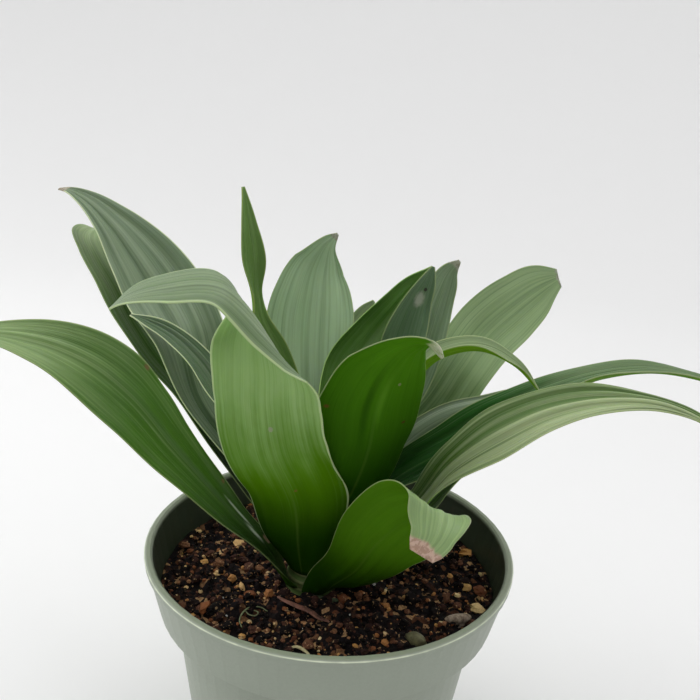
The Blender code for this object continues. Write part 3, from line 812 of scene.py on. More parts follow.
@dataclass
class Leaf:
    """One strap-shaped blade, built on the same midrib table as its solid in the frame.

    "root" is its azimuth in degrees on the cane, its height and its width. "cup" is how deep the channel
    is at the places of "cup_places" along the blade. Each row of "line" is a point on the midrib, the way
    the upper face looks there, and the width.
    """

    name: str
    root: tuple[float, float, float]
    cup: tuple[float, ...]
    line: list[tuple[float, ...]]
    skin: LeafSkin = field(default_factory=LeafSkin)
    cup_places: tuple[float, ...] = (0.0, 0.45, 1.0)
    rolls: tuple[Roll, ...] = ()
    swells: tuple[Swell, ...] = ()
    tugs: tuple[Tug, ...] = ()
    grooves: float = 0.28
    ripple: float = 0.5
    seed: int = 1
    rows: int = 116
    columns: int = 43
    thick: float = 0.62
    foot_gap: float = 0.95
    bend_steps: int = 160

    def midrib(self, along: Array) -> tuple[Array, float]:
        """Points, upper directions and widths along the midrib, as rows of seven numbers.

        Args:
            along: places, 0 at the foot and 1 at the tip.

        Returns:
            The rows, and the midrib's length.
        """
        azimuth = math.radians(self.root[0])
        outward = np.array([math.cos(azimuth), math.sin(azimuth)])
        foot = np.array(STEM_CENTRE) + (stem_radius(self.root[1]) + self.foot_gap) * outward
        first = (foot[0], foot[1], self.root[1], -outward[0], -outward[1], 0.12, self.root[2])
        rows = np.array([first] + list(self.line), dtype=float)
        rows[:, 3:6] = unit(rows[:, 3:6])
        chords = np.linalg.norm(np.diff(rows[:, :3], axis=0), axis=1)
        knots = np.concatenate([[0.0], np.cumsum(chords)]) / np.sum(chords)
        return smooth_through(along, knots, rows), float(np.sum(chords))

    def surface(self, along: Array, across: Array) -> tuple[Array, Array, float]:
        """The blade's middle surface.

        The cross-section turns upward on both sides of the midrib, in proportion to the way across; its
        shape is the running sum of the cosine and sine of that turn. A roll turns the outer part back.
        Grooves are three sines across the blade that drift along it, and fade at the foot, the tip and
        the margins. A ripple lifts both margins by the cube of the way across, and a swell lifts one of
        them by its square. A tug moves a margin outward by a share that falls off evenly along the blade
        and by the cube across it.

        Args:
            along: places on its length, 0 to 1.
            across: places on its width, -1 to 1.

        Returns:
            A grid of points, the half width at each place along, and the length.
        """
        middle, length = self.midrib(along)
        ahead, _ = self.midrib(np.clip(along + 0.001, 0, 1))
        behind, _ = self.midrib(np.clip(along - 0.001, 0, 1))
        tangent = unit(ahead[:, :3] - behind[:, :3])
        upper = middle[:, 3:6]
        upper = unit(upper - tangent * np.sum(upper * tangent, axis=1, keepdims=True))
        side = np.cross(upper, tangent)
        half = np.maximum(middle[:, 6], 1.4) / 2
        cup = np.interp(along, self.cup_places, self.cup)
        fine = np.linspace(-1, 1, self.bend_steps + 1)
        turn = 2 * cup[:, None] * fine[None, :]
        for roll in self.rolls:
            window = np.clip((along - roll.begin) / 0.12, 0, 1) * np.clip((roll.end - along) / 0.12, 0, 1)
            window = window * window * (3 - 2 * window)
            bend = np.clip((roll.side * fine - roll.start) / (1 - roll.start), 0, 1)
            turn = turn - roll.side * roll.amount * window[:, None] * bend[None, :]
        steps = np.stack([np.cos(turn), np.sin(turn)])
        sums = np.cumsum((steps[..., 1:] + steps[..., :-1]) / 2, axis=2)
        sums = np.concatenate([np.zeros((2, len(along), 1)), sums], axis=2)
        centre = self.bend_steps // 2
        sums = (sums - sums[..., centre:centre + 1]) * (fine[1] - fine[0])
        place = (across + 1) / 2 * self.bend_steps
        low = np.clip(place.astype(int), 0, self.bend_steps - 1)
        share = place - low
        wide, lift = sums[..., low] * (1 - share) + sums[..., low + 1] * share
        a, u = np.meshgrid(along, across, indexing="ij")
        for tug in self.tugs:
            pull = np.clip(1 - np.abs(a - tug.middle) / tug.reach, 0, 1)
            wide = wide + tug.side * tug.draw * pull * np.clip(u * tug.side, 0, 1) ** 3 / half[:, None]
        fade = np.clip(a / 0.2, 0, 1) * np.clip((1 - a) / 0.15, 0, 1) * (1 - 0.75 * u**4)
        shift = np.random.default_rng(self.seed).uniform(0, 2 * np.pi, 8)
        waves = (np.sin(8.5 * u + shift[0] + 1.2 * a) + 0.7 * np.sin(14.5 * u + shift[1] - 1.7 * a)
                 + 0.45 * np.sin(24.0 * u + shift[2] + 1.0 * a))
        rise = self.grooves * fade * waves
        ends = np.clip(a / 0.25, 0, 1) * np.clip((1 - a) / 0.12, 0, 1)
        margin = np.abs(u) ** 3 * ends
        roll = np.where(u > 0, np.sin(19 * a + shift[3]) + 0.6 * np.sin(33 * a + shift[4]),
                        np.sin(21 * a + shift[5]) + 0.6 * np.sin(30 * a + shift[6]))
        rise = rise + self.ripple * margin * roll
        for swell in self.swells:
            reach = np.clip(1 - ((a - swell.middle) / swell.reach) ** 2, 0, 1) ** 2
            rise = rise + swell.height * reach * np.clip(u * swell.side, 0, 1) ** 2
        points = (middle[:, None, :3]
                  + side[:, None, :] * (half[:, None] * wide)[..., None]
                  + upper[:, None, :] * (half[:, None] * lift + rise)[..., None])
        return points, half, length

    def build(self) -> bpy.types.Object:
        """A closed blade: the middle surface moved out both ways along its normal, with rounded margins.

        Returns:
            The piece, which stands for the solid of the same name.
        """
        along = 1 - (1 - np.linspace(0, 1, self.rows)) ** 1.05
        across = np.sin(np.linspace(-1, 1, self.columns) * np.pi / 2 * 0.86) / math.sin(np.pi / 2 * 0.86)
        points, half, length = self.surface(along, across)
        normal = unit(np.cross(np.gradient(points, axis=1), np.gradient(points, axis=0)))
        thin = self.thick / 2 * (1 - 0.35 * np.abs(across) ** 6)[None, :, None]
        low = points + normal * thin
        top = (points - normal * thin)[:, ::-1]
        outward = unit(points[:, -1] - points[:, -2]) * self.thick * 0.3
        inward = unit(points[:, 0] - points[:, 1]) * self.thick * 0.3
        loops = np.concatenate([
            low, (points[:, -1] + outward)[:, None], top, (points[:, 0] + inward)[:, None],
        ], axis=1)
        rows, count = loops.shape[:2]
        everything = np.concatenate([loops.reshape(-1, 3), points[0].mean(0)[None], points[-1].mean(0)[None]])
        first = np.arange(count)
        last = (rows - 1) * count + first
        faces = [
            loop_faces(rows, count)[:, ::-1],
            cap_faces(first, rows * count, True),
            cap_faces(last, rows * count + 1, False),
        ]
        upper_skin, under_skin = (self.skin.material(self.name, face, self.seed * 1.7) for face in Face)
        piece = new_piece(self.name + "_blade", everything, faces, upper_skin)
        piece.data.materials.append(under_skin)
        is_under = np.tile(np.arange(count) < len(across), rows - 1).astype(np.int32)
        slots = np.concatenate([is_under, np.zeros(2 * count, np.int32)])
        piece.data.polygons.foreach_set("material_index", slots)
        u = np.concatenate([across, [1.0], across[::-1], [-1.0]])
        blade = np.stack(np.broadcast_arrays(
            u[None, :], along[:, None], half[:, None],
        ), axis=-1).reshape(-1, 3)
        ruler = np.stack(np.broadcast_arrays(
            along[:, None] * length, (1 - np.abs(u))[None, :] * half[:, None], (1 - along)[:, None] * length,
        ), axis=-1).reshape(-1, 3)
        add_attribute(piece, "blade", np.concatenate([blade, [(0, 0, half[0]), (0, 1, half[-1])]]))
        add_attribute(piece, "ruler", np.concatenate([ruler, [(0, 0, length), (length, 0, 0)]]))
        return piece


@dataclass
class Soil:
    """The potting mix: a closed body with a crumbly top, and what lies loose on it."""

    rings: int = 112
    steps: int = 400
    small_crumbs: int = 2400
    big_crumbs: int = 420
    chips: int = 520
    grains: int = 26
    edge_radius: float = 69.35
    strewn_radius: float = 68.0
    clear_radius: float = 68.6

    def wall(self) -> list[tuple[float, float]]:
        """The pot's inner wall below the soil's edge, less the clearance, as (radius, height)."""
        return [(68.2, 88.6), (61.8, 87.0), (50.0, 5.2), (47.5, 2.6)]

    def body(self) -> bpy.types.Object:
        """Rings from the cane's hole out to the pot wall, down the wall and under to the middle.

        The top rings run from the hole's circle to the wall's circle in equal shares, so they stay
        rings although the cane stands off centre.
        """
        angles = 2 * np.pi * np.arange(self.steps) / self.steps
        turn = np.stack([np.cos(angles), np.sin(angles)], axis=1)
        hole = np.array(STEM_CENTRE) + SOIL_HOLE * turn
        edge = self.edge_radius * turn
        share = np.linspace(0, 1, self.rings)[:, None, None]
        flat = hole * (1 - share) + edge * share
        x, y = flat[..., 0], flat[..., 1]
        near = np.hypot(x - STEM_CENTRE[0], y - STEM_CENTRE[1])
        quiet = np.clip((near - SOIL_HOLE) / 4.0, 0, 1) * np.clip((69.6 - np.hypot(x, y)) / 2.0, 0.25, 1)
        height = 94.6 + (crumbly_height(x, y) - 94.6) * quiet
        rings = [np.column_stack([hole, np.full(self.steps, STEM_FOOT - 0.3)])]
        rings += list(np.concatenate([flat, height[..., None]], axis=2))
        rings += [
            np.column_stack([radius * turn, np.full(self.steps, level)]) for radius, level in self.wall()
        ]
        points = np.concatenate(rings + [[(*STEM_CENTRE, STEM_FOOT - 0.3), (0, 0, 2.6)]])
        count = len(rings)
        first = np.arange(self.steps)
        last = (count - 1) * self.steps + first
        faces = [
            loop_faces(count, self.steps)[:, ::-1],
            cap_faces(first, count * self.steps, True),
            cap_faces(last, count * self.steps + 1, False),
        ]
        return new_piece("soil_body", points, faces, SoilMix().material())

    def scatter(self, name: str, finish: Crumb, count: int, sizes: tuple[float, float], seed: int,
                shape: tuple[int, int], placed: Array | None = None, tints: tuple[float, float] = (0, 1),
                squash: float = 0.7) -> bpy.types.Object:
        """Loose bits as one mesh: dented balls, each stretched, turned and sunk a little into the soil.

        Args:
            name: the piece's name.
            finish: the bits' finish.
            count: how many are strewn at random over the soil.
            sizes: smallest and largest radius.
            seed: picks the places and shapes.
            shape: rings and sides of each ball.
            placed: rows of x, y, radius and tint for bits given one by one.
            tints: the range of their tones.
            squash: their height as a share of their width.

        Returns:
            The piece.
        """
        random = np.random.default_rng(seed)
        angle = random.uniform(0, 2 * np.pi, count)
        reach = self.strewn_radius * np.sqrt(random.uniform(0.0, 1.0, count))
        x, y = reach * np.cos(angle), reach * np.sin(angle)
        size = sizes[0] + (sizes[1] - sizes[0]) * random.random(count) ** 2
        tint = random.uniform(*tints, count)
        clear = np.hypot(x - STEM_CENTRE[0], y - STEM_CENTRE[1]) > SOIL_HOLE + 2.0
        clear &= reach + size < self.clear_radius
        x, y, size, tint = x[clear], y[clear], size[clear], tint[clear]
        if placed is not None:
            x, y, size, tint = (np.concatenate(pair) for pair in zip((x, y, size, tint), placed.T))
        ball, faces = globe(*shape)
        count = len(x)
        stretch = random.uniform(0.65, 1.25, (count, 1, 3)) * np.array([1.0, 1.0, squash])
        dents = 1 + random.uniform(-0.22, 0.22, (count, len(ball), 1))
        bits = ball[None] * stretch * dents * size[:, None, None]
        spin = random.uniform(0, 2 * np.pi, count)
        lean = random.uniform(-0.5, 0.5, count)
        c, s = np.cos(spin), np.sin(spin)
        k, t = np.cos(lean), np.sin(lean)
        zero, one = np.zeros(count), np.ones(count)
        about_z = np.stack([c, -s, zero, s, c, zero, zero, zero, one], axis=1).reshape(-1, 3, 3)
        about_x = np.stack([one, zero, zero, zero, k, -t, zero, t, k], axis=1).reshape(-1, 3, 3)
        bits = np.einsum("nij,nkj->nki", about_z @ about_x, bits)
        ground = crumbly_height(x, y)
        bits = bits + np.stack([x, y, ground + size * squash * 0.35], axis=1)[:, None, :]
        shift = (np.arange(count) * len(ball))[:, None, None]
        groups = [(group[None] + shift).reshape(-1, group.shape[1]) for group in faces]
        piece = new_piece(name, bits.reshape(-1, 3), groups, finish.material(), smooth=False)
        add_attribute(piece, "tint", np.repeat(tint, len(ball)))
        return piece

    def build(self) -> list[bpy.types.Object]:
        """The soil's body and every kind of loose bit on it."""
        chips = np.array([
            (-40.2, 16.3, 2.6, 0.8), (-23.3, -21.2, 3.0, 0.45), (-30.7, -20.0, 2.8, 0.25),
            (6.3, -17.2, 2.6, 0.2), (24.1, -19.9, 2.2, 0.5), (61.3, 23.0, 3.2, 0.6),
            (59.0, -2.6, 2.6, 0.75), (64.2, -5.7, 3.0, 0.1), (61.5, -16.3, 3.4, 0.9),
            (-53.2, 2.7, 1.8, 0.7), (-46.3, -4.8, 1.9, 0.85), (-39.8, -8.5, 2.4, 0.55),
            (-34.8, -14.3, 1.7, 0.8), (-46.9, -30.4, 3.2, 0.3), (52.0, 3.0, 1.6, 0.6),
            (-57.0, -8.0, 1.6, 0.2),
        ])
        grains = np.array([(19.0, -8.1, 1.3, 0.95), (-38.0, -33.0, 0.8, 0.8), (50.0, -12.0, 0.8, 0.8)])
        return [
            self.body(),
            self.scatter("soil_small_crumbs", PEAT_CRUMBS, self.small_crumbs, (0.45, 1.5), 21, (2, 5)),
            self.scatter(
                "soil_big_crumbs", PEAT_CRUMBS, self.big_crumbs, (1.3, 2.9), 22, (3, 7), None, (0.1, 0.95),
            ),
            self.scatter("bark_chips", BARK_CHIPS, self.chips, (0.35, 1.5), 23, (3, 7), chips),
            self.scatter("perlite_grains", PERLITE, self.grains, (0.3, 0.7), 24, (2, 6), grains),
        ]


@dataclass
class SoilLitter:
    """Scraps on the soil in front: rootlet, dry strip, stone, pale lump, straw and a bit of sheath."""

    def strand(self, name: str, flat_path: list[tuple[float, float, float]], radius: float,
               finish: PlainTone, flat: float = 1.0, sides: int = 10) -> bpy.types.Object:
        """A thin tube that lies on the soil.

        Args:
            name: the piece's name.
            flat_path: x, y and height above the soil's mean there, of points that it passes through.
            radius: its radius in the middle; the ends are half that.
            finish: its finish.
            flat: its height as a share of its width.
            sides: points round it.

        Returns:
            The piece.
        """
        rows = np.array(flat_path, dtype=float)
        knots = np.linspace(0, 1, len(rows))
        places = np.linspace(0, 1, 12 * len(rows))
        path = smooth_through(places, knots, rows)
        path[:, 2] += crumbly_height(path[:, 0], path[:, 1]).mean()
        radii = radius * (0.5 + 0.5 * np.sin(np.pi * np.clip(places, 0.04, 0.96)))
        points, faces = tube(path, radii, sides, flat)
        return new_piece(name, points, faces, finish.material())

    def rock(self, name: str, centre: tuple[float, float], size: Point, turn: float, finish: PlainTone,
             seed: int, dents: float = 0.12) -> bpy.types.Object:
        """A dented ball, stretched and turned, that sits in the soil.

        Args:
            name: the piece's name.
            centre: where it lies.
            size: its half width, half depth and half height.
            turn: its turn about Z, in degrees.
            finish: its finish.
            seed: picks the dents.
            dents: how deep they are, as a share of the size.

        Returns:
            The piece.
        """
        ball, faces = globe(14, 24)
        random = np.random.default_rng(seed)
        tilts = random.uniform(-3.5, 3.5, (5, 3))
        bulge = np.sin(ball @ tilts.T + random.uniform(0, 6, 5)).mean(axis=1) * 2.0
        planes = unit(random.normal(size=(7, 3)))
        facets = np.clip((ball @ planes.T).max(axis=1) - 0.72, 0, None)
        shaped = ball * (1 + dents * bulge - 0.9 * facets)[:, None] * np.array(size)
        angle = math.radians(turn)
        c, s = math.cos(angle), math.sin(angle)
        spin = np.array([[c, -s, 0], [s, c, 0], [0, 0, 1]])
        ground = crumbly_height(np.array([centre[0]]), np.array([centre[1]]))[0]
        points = shaped @ spin.T + np.array([*centre, ground + size[2] * 0.45])
        return new_piece(name, points, faces, finish.material())

    def build(self) -> list[bpy.types.Object]:
        """Every scrap."""
        rootlet = PlainTone("rootlet", (0.24, 0.28, 0.14), (0.13, 0.14, 0.06), 900.0)
        husk = PlainTone("dry_strip", (0.24, 0.100, 0.065), (0.030, 0.012, 0.009), 300.0)
        stone = PlainTone("olive_stone", (0.20, 0.19, 0.09), (0.09, 0.085, 0.04), 260.0, 0.5)
        lump = PlainTone("pale_lump", (0.42, 0.33, 0.25), (0.14, 0.09, 0.06), 620.0, 0.85)
        scrap = PlainTone("straw_scrap", (0.62, 0.56, 0.32), (0.36, 0.28, 0.13), 500.0)
        # painted shade: the bit of sheath at the foot is coloured almost black green, as the shade under the
        # leaves
        sheath = PlainTone("sheath_foot", (0.010, 0.022, 0.005), (0.085, 0.120, 0.050), 520.0, 0.75)
        return [
            self.strand("curly_rootlet", [
                (-22.5, -30.0, 1.0), (-25.5, -28.6, 1.6), (-29.0, -29.6, 2.2), (-31.6, -33.0, 2.0),
                (-32.4, -37.0, 1.2), (-31.0, -40.4, 0.6),
            ], 0.32, rootlet),
            self.strand("curly_rootlet_loop", [
                (-30.8, -32.0, 2.4), (-29.0, -34.6, 2.8), (-26.6, -34.4, 2.4), (-26.0, -31.6, 2.0),
                (-28.4, -30.6, 2.2),
            ], 0.25, rootlet),
            self.strand("dry_strip", [
                (-19.5, -22.6, 1.8), (-15.0, -26.2, 2.2), (-10.6, -28.8, 2.3), (-6.0, -30.8, 2.0),
                (-2.0, -33.6, 1.2), (2.0, -34.6, 0.6),
            ], 1.35, husk, 0.28),
            self.rock("olive_stone", (35.2, -41.4), (4.9, 3.0, 3.6), -38.0, stone, 3, 0.10),
            self.rock("pale_lump", (51.6, -29.0), (5.4, 3.2, 2.2), 20.0, lump, 8, 0.30),
            self.strand("straw_scrap", [
                (-12.4, -50.6, 1.0), (-9.4, -50.2, 1.7), (-6.2, -51.8, 1.4), (-4.2, -53.4, 0.7),
            ], 0.75, scrap, 0.5),
            self.strand("sheath_foot", [
                (-10.0, -18.4, 0.2), (-7.0, -19.8, 1.0), (-2.5, -20.8, 1.4), (1.5, -20.6, 1.0),
                (4.5, -19.0, 0.2),
            ], 1.8, sheath, 0.6),
        ]


@dataclass(frozen=True)
class CaneSkin:
    """Young green cane, paler and brown-flecked at its leaf scars."""

    def material(self) -> bpy.types.Material:
        """Rings of tone along the cane, from waves on its height."""
        tree = NodeTree("cane_look")
        place = tree.place()
        parts = tree.node("ShaderNodeSeparateXYZ", None, {0: place})
        height = Wire(tree, parts.outputs[2])
        rings = tree.maths("SINE", height * 1900.0) * 0.5 + 0.5
        grain = tree.noise(place, 420.0, 3.0, 0.6)
        colour = tree.mix(rings.step(0.55, 0.95) * 0.7, (0.10, 0.17, 0.04), (0.26, 0.28, 0.12))
        colour = tree.mix(grain.step(0.5, 0.75) * 0.6, colour, (0.10, 0.06, 0.03))
        tree.bump(rings * 0.6 + grain * 0.4, 0.5, 0.0006)
        return tree.dress(Base_Color=colour, Roughness=0.5 + grain * 0.2)


@dataclass
class Cane:
    """The short stem: a tapered cane ringed by leaf scars."""

    sides: int = 72
    bare_from: float = 97.0
    bark: float = 0.25
    scar_ridge: float = 0.35
    scar_pitch: float = 3.3

    def build(self) -> bpy.types.Object:
        """The frame's radius carried up the cane and, above the soil, bark with a ridge at each scar."""
        heights = np.linspace(STEM_FOOT, STEM_TOP, 170)
        radii = np.interp(heights, STEM_HEIGHTS, STEM_RADII)
        bare = np.clip((heights - self.bare_from) / 3.0, 0, 1)
        from_scar = np.abs(((heights - self.bare_from - 1.0) % self.scar_pitch) - self.scar_pitch / 2)
        ridge = np.clip(1 - from_scar / 0.5, 0, 1)
        radii = radii + bare * (self.bark + self.scar_ridge * ridge)
        turn = 2 * np.pi * np.arange(self.sides) / self.sides
        wobble = 1 + 0.02 * np.sin(3 * turn[None, :] + 0.12 * heights[:, None])
        loops = np.stack([
            STEM_CENTRE[0] + radii[:, None] * wobble * np.cos(turn),
            STEM_CENTRE[1] + radii[:, None] * wobble * np.sin(turn),
            heights[:, None] * np.ones(self.sides),
        ], axis=-1)
        tip = loops[-1] * [1, 1, 0] + [0, 0, STEM_TOP + 1.4]
        tip[:, :2] = np.array(STEM_CENTRE) + (tip[:, :2] - STEM_CENTRE) * 0.6
        loops = np.concatenate([loops, tip[None]])
        ends = [(*STEM_CENTRE, STEM_FOOT), (*STEM_CENTRE, STEM_TOP + 2.0)]
        points = np.concatenate([loops.reshape(-1, 3), ends])
        count = len(loops)
        first = np.arange(self.sides)
        faces = [
            loop_faces(count, self.sides),
            cap_faces(first, count * self.sides, False),
            cap_faces((count - 1) * self.sides + first, count * self.sides + 1, True),
        ]
        return new_piece("cane", points, faces, CaneSkin().material())


@dataclass
class Studio:
    """A plain pale floor that rises all round like a bowl, soft lights and the camera.

    The paper turns dim behind the camera, so that the light falls from above, the sides and the back.
    """

    flat_radius: float = 0.95
    rise_radius: float = 0.75
    wall_height: float = 1.0
    tone: Colour = (0.84, 0.84, 0.84)
    dim_tone: Colour = (0.45, 0.45, 0.45)
    air_light: float = 0.89
    lens_length: float = 42.0
    lens_place: Point = (0.0028, -0.3011, 0.2938)
    lens_dip: float = 18.04
    lens_roll: float = 3.86

    def floor(self) -> None:
        """A disc, a quarter-round rise and a wall, turned about Z."""
        bend = np.linspace(0, np.pi / 2, 16)
        radius = np.concatenate([
            [0.02, 0.3, 0.6, self.flat_radius],
            self.flat_radius + self.rise_radius * np.sin(bend[1:]),
            [self.flat_radius + self.rise_radius],
        ])
        height = np.concatenate([
            np.zeros(4), self.rise_radius * (1 - np.cos(bend[1:])), [self.rise_radius + self.wall_height],
        ])
        turn = 2 * np.pi * np.arange(96) / 96
        loops = np.stack([
            radius[:, None] * np.cos(turn), radius[:, None] * np.sin(turn), height[:, None] * np.ones(96),
        ], axis=-1)
        points = np.concatenate([loops.reshape(-1, 3), [(0, 0, 0)]])
        faces = [loop_faces(len(radius), 96), cap_faces(np.arange(96), len(radius) * 96, True)[:, ::-1]]
        tree = NodeTree("studio_paper")
        ahead = Wire(tree, tree.node("ShaderNodeSeparateXYZ", None, {0: tree.place()}).outputs[1])
        paper = tree.mix(1 - ahead.step(-1.3, -0.45), self.tone, self.dim_tone)
        piece = new_piece("studio_floor", points / MM, faces, tree.dress(Base_Color=paper, Roughness=0.9))

    def lamp(self, name: str, place: Point, aim: Point, size: tuple[float, float], power: float) -> None:
        """A soft box that looks at a point.

        Args:
            name: the lamp's name.
            place: where it stands, in metres.
            aim: the point that it looks at.
            size: its width and height.
            power: its power in watts.
        """
        light = bpy.data.lights.new(name, "AREA")
        light.shape = "RECTANGLE"
        light.size, light.size_y = size
        light.energy = power
        made = bpy.data.objects.new(name, light)
        bpy.context.scene.collection.objects.link(made)
        back = np.array(place) - np.array(aim)
        back = back / np.linalg.norm(back)
        side = unit(np.cross([0.0, 0.0, 1.0], back))
        above = np.cross(back, side)
        turned = np.eye(4)
        turned[:3, 0], turned[:3, 1], turned[:3, 2], turned[:3, 3] = side, above, back, place
        made.matrix_world = Matrix(turned.tolist())

    def camera(self) -> None:
        """A lens a little higher than the leaves, tipped down and rolled a little."""
        lens = bpy.data.cameras.new("camera")
        lens.lens = self.lens_length
        lens.sensor_width = 36.0
        lens.clip_start = 0.01
        made = bpy.data.objects.new("camera", lens)
        bpy.context.scene.collection.objects.link(made)
        dip = Matrix.Rotation(math.radians(90 - self.lens_dip), 4, "X")
        roll = Matrix.Rotation(math.radians(self.lens_roll), 4, "Z")
        made.matrix_world = Matrix.Translation(self.lens_place) @ (dip @ roll)
        bpy.context.scene.camera = made

    def build(self) -> None:
        """Floor, world, lamps and camera."""
        self.floor()
        world = bpy.data.worlds.new("studio_air")
        world.use_nodes = True
        air = world.node_tree.nodes["Background"]
        air.inputs["Color"].default_value = (1.0, 1.0, 1.0, 1.0)
        air.inputs["Strength"].default_value = self.air_light
        bpy.context.scene.world = world
        self.lamp("window_left", (-1.0, 0.2, 0.95), (0.0, 0.0, 0.15), (0.9, 0.9), 5.6)
        self.lamp("top_back", (0.3, 0.25, 1.5), (0.0, 0.0, 0.15), (1.2, 0.9), 5.6)
        self.camera()
        bpy.context.scene.view_settings.view_transform = "Standard"


